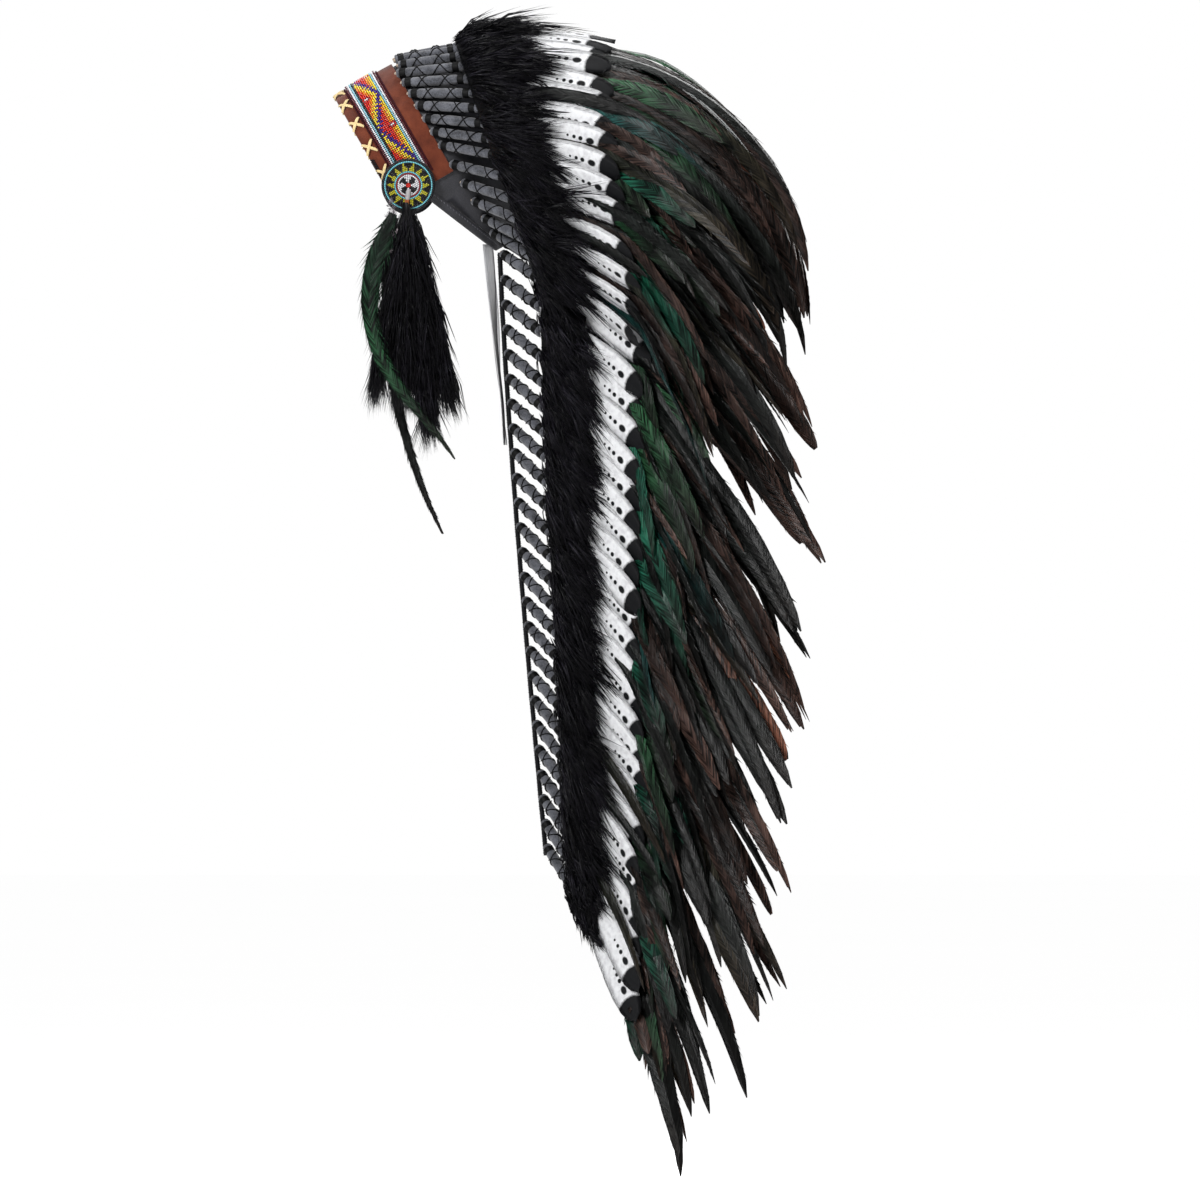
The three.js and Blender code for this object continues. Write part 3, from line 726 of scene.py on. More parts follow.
@dataclass(frozen=True)
class Satin(Finish):
    """Woven satin ribbon: long floats along its length that shine in one direction."""

    dark: str = "#C9CACF"
    light: str = "#FFFFFF"

    def build(self) -> bpy.types.Material:
        """Makes the material."""
        material, tree, shader = self.start()
        stretched = add_node(tree, "ShaderNodeMapping", {"Vector": self.place(tree), "Scale": (1, 1, 0.06)}).outputs[0]
        thread = self.noise(tree, 0.8, 2, stretched)
        cloud = self.noise(tree, 12, 2, stretched)
        value = self.math(tree, "ADD", self.math(tree, "MULTIPLY", thread, 0.4),
                          self.math(tree, "MULTIPLY", cloud, 0.6))
        tree.links.new(self.ramp(tree, value, (0.35, self.dark), (0.6, self.light)), shader.inputs["Base Color"])
        self.bump(tree, shader, thread, 0.05, 0.5)
        return material


@dataclass(frozen=True)
class Weave(Finish):
    """Plain-woven cotton: threads over and under each other."""

    dark: str = "#0E0E11"
    light: str = "#26262B"
    thread_mm: float = 0.9

    def build(self) -> bpy.types.Material:
        """Makes the material."""
        material, tree, shader = self.start()
        place = self.place(tree)
        waves = [add_node(tree, "ShaderNodeTexWave", {"Vector": place, "Scale": per_metre(self.thread_mm) / 6.283,
                                                      "Distortion": 0.4}, bands_direction=axis).outputs[1] for axis in ("Y", "Z")]
        weave = self.math(tree, "MULTIPLY", *waves)
        cloud = self.noise(tree, 20, 3, place)
        value = self.math(tree, "ADD", self.math(tree, "MULTIPLY", weave, 0.4), self.math(tree, "MULTIPLY", cloud, 0.6))
        tree.links.new(self.ramp(tree, value, (0.25, self.dark), (0.7, self.light)), shader.inputs["Base Color"])
        self.bump(tree, shader, weave, 0.2, 0.6)
        return material


@dataclass(frozen=True)
class Paper(Finish):
    """A matt painted studio floor with the faintest unevenness, lit through from below as a light table is."""

    colour: str = "#F4F4F4"
    glow: float = 0.85

    def build(self) -> bpy.types.Material:
        """Makes the material."""
        material, tree, shader = self.start()
        cloud = self.noise(tree, 900, 1)
        tree.links.new(self.ramp(tree, cloud, (0.0, self.colour), (1.0, "#FAFAFA")), shader.inputs["Base Color"])
        shader.inputs["Emission Color"].default_value = (1, 1, 1, 1)
        seen = add_node(tree, "ShaderNodeLightPath").outputs["Is Camera Ray"]
        glow = add_node(tree, "ShaderNodeMapRange", {"Value": seen, 3: 0.05, 4: self.glow}).outputs[0]
        tree.links.new(glow, shader.inputs["Emission Strength"])
        return material


BLACK_LEATHER = Leather("cowhide_leather_black", 0.55, sheen=0.1).build()
BROWN_SUEDE = Suede("split_suede_brown", 0.95, sheen=0.3, sheen_roughness=0.5, specular=0.2).build()
SEED_BEADS = Tinted("glass_seed_beads_opaque", 0.22, ior=1.52, coat=0.5, mottle_mm=3, mottle=0.08).build()
CREAM_LACE = Tinted("buckskin_lace_cream", 0.85, sheen=0.2, specular=0.3, mottle_mm=2, mottle=0.16,
                    relief_mm=0.2).build()
GREY_FELT = Felt("wool_felt_grey", 0.95, sheen=0.35, sheen_roughness=0.6, specular=0.2).build()
WAXED_THREAD = Tinted("waxed_cotton_thread_black", 0.6, specular=0.2, mottle_mm=1.2, mottle=0.35,
                      relief_mm=0.15).build()
BLACK_FUR = Tinted("long_pile_fur_black", 0.34, ior=1.55, specular=0.14, mottle_mm=6, mottle=0.4).build()
WHITE_FEATHER = WhiteFeather("goose_feather_white", 0.6, specular=0.2).build()
DARK_FEATHER = DarkFeather("cock_feather_green_black", 0.28, ior=1.55, specular=0.13).build()
BLACK_CLOTH = Weave("woven_cotton_black", 0.9, sheen=0.2, specular=0.3).build()
GREY_SATIN = Satin("polyester_satin_grey", 0.35, anisotropic=0.5).build()


def dress(piece: bpy.types.Object, material: bpy.types.Material, slot: str, *nodes: str) -> bpy.types.Object:
    """Gives a piece its material and its place in the frame.

    Args:
        piece: The object.
        material: Its material.
        slot: The record's material slot that it would take its finish from; it is not used.
        nodes: The CAD nodes that it stands for.

    Returns:
        The same object.
    """
    piece.data.materials.clear()
    piece.data.materials.append(material)
    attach(piece, "root")
    if nodes:
        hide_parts(*nodes)
    LOG.info("%s: %d faces", piece.name, len(piece.data.polygons))
    return piece


# ---------------------------------------------------------------- studio


@dataclass
class Studio:
    """A long lens level with the middle of the headdress, a pale floor and soft lights."""

    target: tuple[float, float, float] = (0.1467, -0.10, -0.4245)
    distance: float = 25.0
    view_width: float = 1.145
    sensor: float = 36.0
    floor_drop: float = 0.03
    air_light: float = 0.15

    def build(self) -> None:
        """Adds the camera, the lights, the floor and the sky."""
        scene = bpy.context.scene
        lens = bpy.data.cameras.new("camera")
        lens.sensor_width = self.sensor
        lens.lens = self.sensor * self.distance / self.view_width
        lens.clip_end = 100
        camera = bpy.data.objects.new("camera", lens)
        camera.location = Vector(self.target) + Vector((0, -self.distance, 0))
        camera.rotation_euler = (math.pi / 2, 0, 0)
        scene.collection.objects.link(camera)
        scene.camera = camera
        self.light("key", (-1.7, -2.6, 1.5), 0.9, 92)
        self.light("fill", (1.9, -2.6, 0.3), 1.6, 30)
        self.light("top", (0.3, 0.2, 2.0), 1.2, 30)
        self.light("back", (0.6, 2.6, 0.9), 1.8, 34)
        scene.view_settings.view_transform = "Standard"
        world = bpy.data.worlds.new("studio_air")
        world.use_nodes = True
        tree = world.node_tree
        # The wall behind is white to the eye, and gives the piece less light than it would if it were lit as brightly.
        seen = add_node(tree, "ShaderNodeLightPath").outputs["Is Camera Ray"]
        strength = add_node(tree, "ShaderNodeMapRange", {"Value": seen, 3: self.air_light, 4: 1.0}).outputs[0]
        tree.links.new(strength, tree.nodes["Background"].inputs[1])
        tree.nodes["Background"].inputs[0].default_value = (1, 1, 1, 1)
        scene.world = world
        bm = bmesh.new()
        bmesh.ops.create_grid(bm, x_segments=2, y_segments=2, size=30)
        bmesh.ops.translate(bm, verts=bm.verts, vec=(0, 0, CAD_BOX[0][2] - self.floor_drop))
        floor = finish_bmesh(bm, "studio_floor", recalc=False)
        floor.data.materials.append(Paper("matt_floor_paint", 0.9, specular=0.1).build())

    def light(self, name: str, place: tuple[float, float, float], size: float, power: float) -> None:
        """Adds one soft square light that looks at the headdress."""
        lamp = bpy.data.lights.new(name, "AREA")
        lamp.size = size
        lamp.energy = power
        lamp_object = bpy.data.objects.new(name, lamp)
        lamp_object.location = place
        aim = Vector((0.12, 0, -0.4)) - Vector(place)
        lamp_object.rotation_euler = aim.to_track_quat("-Z", "Y").to_euler()
        bpy.context.scene.collection.objects.link(lamp_object)


# ---------------------------------------------------------------- cap, brow band and lacing


@dataclass
class Cap:
    """The leather shell inside the row, cut straight from brow to nape, with a turned and stitched hem."""

    inside: float = 3.6
    wall: float = 2.0
    dome: float = 70.0
    front_rim: float = -46.0
    rim_rise: float = 0.41
    segments: int = 120
    rows: int = 16
    hem: float = 1.1
    stitch: float = 3.2

    def rim(self, front: Points) -> Points:
        """Gives how low the rim is at this distance to the front."""
        return self.front_rim - self.rim_rise * np.minimum(front, 0)

    def outside(self, angle: Points, up: Points, off: float) -> Points:
        """Gives points of the cap's straight wall."""
        front = (HAT.front - self.inside + off) * np.cos(angle)
        left = (HAT.side - self.inside + off) * np.sin(angle)
        return HAT.point(front, left, up)

    def build(self) -> None:
        """Makes the shell and its hem stitches."""
        angle = np.linspace(0, 2 * math.pi, self.segments, endpoint=False)
        front = np.cos(angle)
        low = self.rim((HAT.front - self.inside) * front)
        rings = []

        def wall_ring(off: float, share: float, extra: float = 0.0) -> None:
            rings.append(self.outside(angle, low * share + extra, off))

        def dome_ring(scale: float, height: float) -> None:
            a = (HAT.front - self.inside) * scale
            b = (HAT.side - self.inside) * scale
            rings.append(HAT.point(a * np.cos(angle), b * np.sin(angle), height))

        for k in range(self.rows, -1, -1):
            a = math.pi / 2 * min(k, self.rows - 0.15) / self.rows
            dome_ring(math.cos(a), self.dome * math.sin(a))
        for share in (0.35, 0.7):
            wall_ring(0.0, share)
        for off, extra in ((0.1, 9.0), (self.hem, 8.2), (self.hem, 1.0), (0.4, 0.0), (-self.wall * 0.7, 0.2)):
            wall_ring(off, 1.0, extra)
        for share in (0.9, 0.5):
            wall_ring(-self.wall, share)
        for k in range(self.rows + 1):
            a = math.pi / 2 * min(k, self.rows - 0.15) / self.rows
            shrink = 1 - self.wall / HAT.side
            dome_ring(shrink * math.cos(a), (self.dome - self.wall) * math.sin(a))
        stack = np.stack(rings)
        soup = Soup()
        soup.add(stack.reshape(-1, 3), loft(stack), linear("#26262B"))
        dress(soup.make("leather_cap", smooth=True), BLACK_LEATHER, "black_leather", "cap")
        self.build_stitches()

    def build_stitches(self) -> None:
        """Adds a row of short grey stitches along the hem."""
        soup = Soup()
        rim = np.linspace(0, 2 * math.pi, int(540 / self.stitch), endpoint=False)
        low = self.rim((HAT.front - self.inside) * np.cos(rim))
        for row_height in (6.6,):
            start = self.outside(rim, low + row_height, self.hem + 0.1)
            end = self.outside(rim + 0.62 * (rim[1] - rim[0]), low + row_height, self.hem + 0.1)
            add_threads(soup, start, end, 0.34, linear("#6D6D74"))
        dress(soup.make("cap_stitches", smooth=True), WAXED_THREAD, "black_cloth")


def add_threads(soup: Soup, start: Points, end: Points, radius: float, tint: tuple[float, float, float]) -> None:
    """Adds short straight threads with five sides, one from each start to its end."""
    along = unit(end - start)
    side = unit(np.cross(along, np.array([0.3, 0.2, 0.93])))
    other = np.cross(along, side)
    turn = np.linspace(0, 2 * math.pi, 5, endpoint=False)
    ring = side[:, None] * np.cos(turn)[None, :, None] + other[:, None] * np.sin(turn)[None, :, None]
    stations = [(0.0, 0.35), (0.12, 1.0), (0.88, 1.0), (1.0, 0.35)]
    rings = np.stack([start[:, None] + (end - start)[:, None] * at + ring * radius * size for at, size in stations],
                     axis=1)
    faces = loft(rings[0])
    count = rings.shape[1] * rings.shape[2]
    soup.add(rings.reshape(-1, 3), (faces[None] + (np.arange(len(rings)) * count)[:, None, None]).reshape(-1, 3), tint)


@dataclass
class BrowBand:
    """The suede band round the brow, its lapped seam, and the whipped threads along its edges."""

    wall: float = 2.5
    low: float = -65.0
    high: float = -1.5
    end: float = 99.0
    seams: tuple[float, ...] = (52.0, -52.0)
    lap: float = 0.7

    def build(self) -> None:
        """Makes the band and its edge threads."""
        bm = bmesh.new()
        columns, lines = 170, 14
        bmesh.ops.create_grid(bm, x_segments=columns, y_segments=lines, size=1.0)
        rng = np.random.default_rng(11)
        wave = rng.uniform(0, 6.28, 4)
        for vert in bm.verts:
            degrees = vert.co.x * self.end
            arc = degrees / self.end
            up = self.low + (self.high - self.low) * (vert.co.y + 1) / 2
            off = (-0.35 + 0.22 * math.sin(arc * 21 + wave[0]) * math.sin(up * 0.09 + wave[1])
                   + 0.12 * math.sin(arc * 47 + up * 0.2 + wave[2]))
            if abs(degrees) > self.seams[0] and up > -19:
                off += self.lap * 0.6
            point = HAT.wall(degrees, off, up)
            vert.co = Vector(point.reshape(3)) * MM
        bmesh.ops.recalc_face_normals(bm, faces=bm.faces)
        self.face_outwards(bm)
        bmesh.ops.solidify(bm, geom=bm.faces[:], thickness=self.wall * 0.8 * MM)
        edges = [e for e in bm.edges if len(e.link_faces) == 2 and e.calc_face_angle(0) > 1.0]
        bmesh.ops.bevel(bm, geom=edges, offset=0.6 * MM, segments=2, profile=0.5, affect="EDGES", material=-1)
        dress(finish_bmesh(bm, "suede_brow_band", recalc=False), BROWN_SUEDE, "brown_suede", "brow_band")
        self.build_edges()

    def face_outwards(self, bm: bmesh.types.BMesh) -> None:
        """Turns the sheet's faces away from the head before it gets its thickness."""
        bm.faces.ensure_lookup_table()
        face = bm.faces[len(bm.faces) // 2]
        centre = face.calc_center_median()
        if face.normal.dot(centre - Vector(HAT.point(0, 0, -30).reshape(3)) * MM) < 0:
            bmesh.ops.reverse_faces(bm, faces=bm.faces)

    def build_edges(self) -> None:
        """Whips the edge threads: dark red ones beside the beads and dark ones on the low edge near the rosettes."""
        soup = Soup()
        for up, tint, pitch, limit in ((-18.3, "#3D0F1C", 1.5, 93), (-52.9, "#3D0F1C", 1.5, 88)):
            degrees = HAT.angle_at(np.arange(-hat_arc(limit), hat_arc(limit), pitch))
            add_threads(soup, HAT.wall(degrees, 0.75, up - 0.95), HAT.wall(degrees + 0.5, 0.75, up + 0.95), 0.55,
                        linear(tint))
        for sign in (-1, 1):
            degrees = HAT.angle_at(sign * np.arange(hat_arc(72), hat_arc(97), 2.0))
            add_threads(soup, HAT.wall(degrees, 0.7, self.low - 0.6),
                        HAT.wall(degrees + sign * 1.2, 0.9, self.low + 3.4), 0.7, linear("#17151A"))
        dress(soup.make("band_edge_threads", smooth=True), WAXED_THREAD, "black_cloth")


def hat_arc(degrees: float) -> float:
    """Gives how far the ring has run at this angle from the front."""
    arcs = np.arange(0, 200, 0.5)
    return float(np.interp(degrees, HAT.angle_at(arcs), arcs))


@dataclass
class Lacing:
    """Cream lace crosses along the band's low margin."""

    pitch: float = 28.5
    crosses: int = 5
    reach: float = 6.4
    width: float = 3.0
    low: float = -65.6
    high: float = -54.2

    def build(self) -> None:
        """Makes the crosses, each of two laces."""
        soup = Soup()
        rng = np.random.default_rng(5)
        for index in range(-self.crosses, self.crosses):
            arc = (index + 0.5) * self.pitch
            jitter = rng.uniform(-0.6, 0.6, 4)
            self.strip(soup, arc - self.reach + jitter[0], self.low, arc + self.reach + jitter[1], self.high, 0.5)
            self.strip(soup, arc - self.reach + jitter[2], self.high, arc + self.reach + jitter[3], self.low, 1.25)
        dress(soup.make("cream_lacing", smooth=False), CREAM_LACE, "cream_lace", "brow_lacing")

    def strip(self, soup: Soup, arc0: float, up0: float, arc1: float, up1: float, off: float) -> None:
        """Lays one flat lace from one stitch hole to the other, bulging a little in its middle."""
        share = np.linspace(0, 1, 9)
        arc, up = arc0 + (arc1 - arc0) * share, up0 + (up1 - up0) * share
        high = off + 0.5 * np.sin(np.pi * share) - 1.3 * (2 * np.abs(share - 0.5)) ** 6
        length = math.hypot(arc1 - arc0, up1 - up0)
        normal = (-(up1 - up0) / length, (arc1 - arc0) / length)
        half = self.width / 2 * (1 - 0.35 * (2 * np.abs(share - 0.5)) ** 4)
        rings = []
        for side, lift in ((-1, 0.0), (-0.8, 0.7), (0.8, 0.7), (1, 0.0)):
            rings.append(HAT.wall(HAT.angle_at(arc + normal[0] * half * side), high + lift + 0.3,
                                  up + normal[1] * half * side))
        stack = np.stack(rings, axis=1)
        soup.add(stack.reshape(-1, 3), loft(stack), linear("#E2CB96"))


# ---------------------------------------------------------------- beadwork


class Bead(Enum):
    """The bead colours."""

    WHITE = "#F2F2F6"
    TURQUOISE = "#8FC9D9"
    RED = "#DE2A1C"
    ORANGE = "#F0861E"
    YELLOW = "#F6DC3C"
    PURPLE = "#43208E"
    MAROON = "#5A1226"
    BLACK = "#141318"
    LEAF = "#C9C22E"
    BRICK = "#9C3238"
    SKY = "#7FD4E2"


@dataclass
class BeadStrip:
    """The loom-beaded strip: borders on both sides of a zigzag with stepped colours."""

    low: float = -51.5
    high: float = -19.7
    off: float = 1.1
    end: float = 90.0
    columns: int = 16
    gap: float = 1.96
    repeat: int = 40
    bead: float = 0.94

    def colour(self, column: int, row: int) -> Bead:
        """Gives the bead at a column from the low edge and a row along the strip."""
        border = (Bead.MAROON, Bead.WHITE, Bead.TURQUOISE, Bead.BLACK)
        from_top = self.columns - 1 - column
        if column < 4:
            return border[column]
        if from_top < 3:
            return (Bead.MAROON, Bead.WHITE, Bead.TURQUOISE)[from_top]
        place, width = column - 4, self.columns - 7
        phase = (row % self.repeat) / self.repeat
        line = round((1 - abs(2 * phase - 1)) * (width - 1))
        if place in (line, line - 1 if row % 2 else line + 1):
            return Bead.PURPLE
        away, near = abs(phase - 0.5) * self.repeat, min(phase, 1 - phase) * self.repeat
        below, above = np.hypot(place - 1.5, away), np.hypot(width - 2.5 - place, near)
        if min(below, above) < 1.9:
            return Bead.WHITE if min(below, above) < 0.8 else Bead.BRICK if (place + row) % 2 else Bead.RED
        if place > line:
            edge = width - 1 - place
            return Bead.YELLOW if edge < 1 + row % 2 else Bead.ORANGE if edge < 3 else Bead.RED
        step = line - place
        return Bead.YELLOW if step <= 2 + row % 2 else Bead.ORANGE if step <= 4 else Bead.RED

    def build(self) -> None:
        """Makes the beads and the dark cloth that they are sewn to."""
        soup = Soup()
        reach = hat_arc(self.end)
        arcs = np.arange(-reach, reach, self.gap)
        ups = np.linspace(self.low + 0.8, self.high - 0.8, self.columns)
        rng = np.random.default_rng(3)
        arc, up = np.meshgrid(arcs, ups, indexing="ij")
        arc, up = arc + rng.normal(0, 0.07, arc.shape), up + rng.normal(0, 0.07, arc.shape)
        height = self.off + 1.0 + rng.normal(0, 0.08, arc.shape)
        degrees = HAT.angle_at(arc.ravel())
        centre = HAT.wall(degrees, height.ravel(), up.ravel())
        along = unit(HAT.wall(degrees + 0.5, height.ravel(), up.ravel()) - centre)
        hole = np.broadcast_to(unit(HAT.point(0, 0, 1).reshape(1, 3)), along.shape)
        tints = [linear(self.colour(c, r).value) for r in range(len(arcs)) for c in range(self.columns)]
        add_beads(soup, centre, hole, along, self.bead, np.array(tints))
        dress(soup.make("loom_beads", smooth=True), SEED_BEADS, "seed_beads", "bead_strip")
        backing = Soup()
        angle = np.linspace(-self.end, self.end, 120)
        ring = [HAT.wall(angle, off, np.full_like(angle, up)) for off, up in
                ((0.2, self.low), (1.5, self.low + 0.3), (1.5, self.high - 0.3), (0.2, self.high))]
        stack = np.stack(ring, axis=1)
        backing.add(stack.reshape(-1, 3), loft(stack), linear("#1B1216"))
        dress(backing.make("loom_backing", smooth=False), BLACK_CLOTH, "black_cloth")


def add_beads(soup: Soup, centre: Points, hole: Points, side: Points, radius: float, tints: Points) -> None:
    """Adds barrel-shaped beads with six sides.

    Args:
        soup: Where they go.
        centre: Their middles.
        hole: The directions of their holes.
        side: A direction across each hole.
        radius: Their radius, in millimetres.
        tints: Their colours.
    """
    other = np.cross(hole, side)
    turn = np.linspace(0, 2 * math.pi, 6, endpoint=False)
    ring = side[:, None] * np.cos(turn)[None, :, None] + other[:, None] * np.sin(turn)[None, :, None]
    rings = np.stack([centre[:, None] + hole[:, None] * radius * at + ring * radius * size
                      for at, size in ((-0.85, 0.62), (0.0, 1.0), (0.85, 0.62))], axis=1)
    faces = loft(rings[0])
    count = 18
    soup.add(rings.reshape(-1, 3), (faces[None] + (np.arange(len(rings)) * count)[:, None, None]).reshape(-1, 3),
             np.repeat(tints, count, axis=0))


@dataclass
class Rosette:
    """A beaded disc over each temple: rings sewn on black felt, with a quill stub below its middle."""

    front: float = -6.6
    along: float = -45.7
    backing: float = 25.6
    face: float = 22.8
    thick: float = 4.2
    bead: float = 0.8
    gap: float = 1.6

    def colour(self, radius: float, turn: float) -> Bead:
        """Gives the bead at a radius and an angle from straight up."""
        if radius > 23.4:
            return Bead.BLACK
        if radius > 21.4:
            return Bead.SKY
        if radius > 13.6:
            tooth = abs(((turn / (2 * math.pi) * 14) % 1) - 0.5) * 2
            return Bead.LEAF if tooth < (21.4 - radius) / 7.0 * 0.74 else Bead.BLACK
        if radius > 12.0:
            return Bead.SKY
        if radius > 10.4:
            return Bead.BRICK
        if radius < 2.0:
            return Bead.RED
        petal = abs(((turn + math.radians(52)) / (math.pi / 2)) % 1 - 0.5)
        petal = min(petal, 0.5)
        return Bead.BLACK if radius < 8.8 and 0.5 - petal < 0.17 + 0.5 / radius else Bead.WHITE

    def build(self) -> None:
        """Makes both rosettes."""
        for side in Side:
            self.build_one(side)

    def build_one(self, side: Side) -> None:
        """Makes the felt disc and the beads of one rosette."""
        name = side.name.lower()
        middle = HAT.point(self.front, HAT.side + 3.5, self.along).reshape(3)
        sign = side.value
        bm = bmesh.new()
        profile = [(0.0, 0.0), (self.backing, 0.0), (self.backing + 0.2, 0.9), (self.backing - 0.6, 1.9),
                   (self.face, 2.5), (0.0, 2.9)]
        verts = [bm.verts.new((radius, 0.0, height)) for radius, height in profile]
        edges = [bm.edges.new(pair) for pair in zip(verts, verts[1:])]
        bmesh.ops.spin(bm, geom=verts + edges, axis=(0, 0, 1), cent=(0, 0, 0), angle=2 * math.pi, steps=48,
                       use_merge=True)
        bmesh.ops.remove_doubles(bm, verts=bm.verts, dist=1e-4)
        for vert in bm.verts:
            x, y, z = vert.co
            vert.co = Vector((middle[0] + x, sign * (middle[1] - z), middle[2] + y)) * MM
        dress(finish_bmesh(bm, f"rosette_felt_{name}"), BLACK_CLOTH, "black_cloth", f"rosette_{name}")
        soup = Soup()
        centres, tints = [middle + (0, -3.3, 0)], [linear(Bead.RED.value)]
        for radius in np.arange(self.gap, self.backing - 0.2, self.gap):
            count = int(round(2 * math.pi * radius / 1.66))
            for k in range(count):
                turn = 2 * math.pi * k / count
                low = 0.9 * max(0.0, (radius - self.face) / (self.backing - self.face))
                centres.append(middle + (radius * math.sin(turn), -3.3 + low, radius * math.cos(turn)))
                tints.append(linear(self.colour(radius, turn).value))
        centre = np.array(centres)
        hole = np.stack([centre[:, 2] - middle[2], np.zeros(len(centre)), middle[0] - centre[:, 0]], axis=1)
        hole[0] = (1, 0, 0)
        hole = unit(hole)
        side_way = np.cross(hole, (0, 1, 0))
        centre[:, 1] *= sign
        add_beads(soup, centre, hole, side_way, self.bead, np.array(tints))
        dress(soup.make(f"rosette_beads_{name}", smooth=True), SEED_BEADS, "seed_beads")
        self.build_quill(side, middle)

    def build_quill(self, side: Side, middle: Points) -> None:
        """Makes the bound end of the drop's quill, which lies on the lower half of the disc."""
        soup = Soup()
        turn = np.linspace(0, 2 * math.pi, 8, endpoint=False)
        stations = ((-3.5, 0.0, 0.8), (-5.5, 0.0, 2.1), (-10.0, 0.3, 2.6), (-13.5, 0.8, 1.9), (-14.0, 1.0, 2.2),
                    (-18.5, 1.6, 2.0), (-23.0, 2.2, 1.2))
        rings = [np.stack([middle[0] - lean + r * np.cos(turn), side.value * (middle[1] - 4.4 + r * np.sin(turn)),
                           np.full(8, middle[2] + z)], axis=-1) for z, lean, r in stations]
        stack = np.stack(rings)
        tints = np.repeat([linear("#A9A6A8")] * 4 + [linear("#A65A2C")] * 3, 8, axis=0)
        soup.add(stack.reshape(-1, 3), loft(stack), tints)
        dress(soup.make(f"rosette_quill_{side.name.lower()}", smooth=True), CREAM_LACE, "cream_lace")


# ---------------------------------------------------------------- quill wraps


@dataclass
class Wraps:
    """Grey felt rolled round each quill, whipped with black thread at both ends and crossed between."""

    sides: int = 10
    band: float = 5.8
    thread: float = 0.85
    crown_foot: float = 6.0

    def build(self) -> None:
        """Makes the wraps of the crown and of both edges of the trail."""
        crown = [(abs(row), Side.LEFT if row >= 0 else Side.RIGHT) for row in range(-CROWN_LAST, CROWN_LAST + 1)]
        names = [f"crown_wrap_{i + 1:02d}" for i in range(len(crown))]
        self.build_group("crown", crown, names)
        for side in Side:
            name = side.name.lower()
            rows = [(row, side) for row in range(TRAIL_FIRST, TRAIL_LAST + 1)]
            self.build_group(f"trail_{name}", rows, [f"trail_wraps_{group}_{name}" for group in (1, 2, 3)])

    def build_group(self, name: str, rows: list[tuple[int, Side]], nodes: list[str]) -> None:
        """Makes the felt, the thread and the quill ends of some units."""
        felt, thread, quill = Soup(), Soup(), Soup()
        rng = np.random.default_rng(17)
        for row, side in rows:
            path = unit_path(row, side)
            foot = self.crown_foot if row <= CROWN_LAST and row > 2 else 0.0
            path.place -= path.heading[0] * foot * np.clip(1 - path.distance / wrap_length(row), 0, 1)[:, None]
            self.add_felt(felt, path, wrap_length(row), rng)
            self.add_thread(thread, path, wrap_length(row), rng)
            self.add_quill(quill, path)
        dress(felt.make(f"{name}_wraps", smooth=True), GREY_FELT, "grey_felt", *nodes)
        dress(thread.make(f"{name}_whipping", smooth=True), WAXED_THREAD, "black_cloth")
        dress(quill.make(f"{name}_quill_ends", smooth=True), CREAM_LACE, "cream_lace")

    def tube(self, soup: Soup, path: Path, profile: Points, tint: object, sides: int | None = None) -> None:
        """Adds a round shape about a unit's line from a table of distance and radius."""
        sides = sides or self.sides
        turn = np.linspace(0, 2 * math.pi, sides, endpoint=False)
        at = np.repeat(profile[:, 0], sides)
        radius = np.repeat(profile[:, 1], sides)
        angle = np.tile(turn, len(profile))
        points = path.at(at, radius * np.cos(angle), radius * np.sin(angle))
        soup.add(points, loft(points.reshape(len(profile), sides, 3)), tint)

    def add_felt(self, soup: Soup, path: Path, length: float, rng: np.random.Generator) -> None:
        """Adds one roll of felt, pinched where the thread holds it."""
        b, start = self.band, 3.0
        fat = 4.7 + rng.uniform(-0.2, 0.2)
        profile = np.array([
            (0.2, 2.2), (0.4, 3.6), (1.6, 4.3), (start, 4.1), (start + b, 4.1), (start + b + 1.5,
                                                                                 fat), (length * 0.36, fat + 0.15),
            (length * 0.62, fat + 0.1), (length - b - 6.5, fat), (length - b - 5, 4.1), (length - 5,
                                                                                         4.1), (length - 3.8, 4.6),
            (length - 0.8, 4.7), (length + 0.2, 4.2), (length + 0.3, 2.4)])
        self.tube(soup, path, profile, linear("#5D5F66"))

    def add_thread(self, soup: Soup, path: Path, length: float, rng: np.random.Generator) -> None:
        """Adds the two whipped bands and the two threads that cross between them."""
        black = linear("#060607")
        for start in (3.0, length - self.band - 5):
            turns = np.linspace(start, start + self.band, 11)
            radius = np.where(np.arange(11) % 2, 5.05, 4.65)
            radius[0] = radius[-1] = 4.2
            self.tube(soup, path, np.c_[turns, radius], black)
        share = np.linspace(0, 1, 29)
        at = 3.0 + self.band + (length - 2 * self.band - 8.0) * share
        tilt = rng.uniform(-0.5, 0.5)
        for hand in (1, -1):
            angle = -math.pi / 2 + tilt + hand * 4 * math.pi * share
            radius = 5.12
            rings = []
            for k in range(3):
                a = 2 * math.pi * k / 3
                grow = self.thread * math.cos(a)
                slide = self.thread * math.sin(a)
                rings.append(path.at(at + slide, (radius + grow) * np.cos(angle), (radius + grow) * np.sin(angle)))
            stack = np.stack(rings, axis=1)
            soup.add(stack.reshape(-1, 3), loft(stack), black)

    def add_quill(self, soup: Soup, path: Path) -> None:
        """Adds the end of the quill that peeps out of the wrap's foot."""
        profile = np.array([(-2.2, 0.5), (-1.8, 1.2), (-0.6, 1.6), (0.8, 1.7)])
        self.tube(soup, path, profile, linear("#B7A695"), 6)


# ---------------------------------------------------------------- feathers


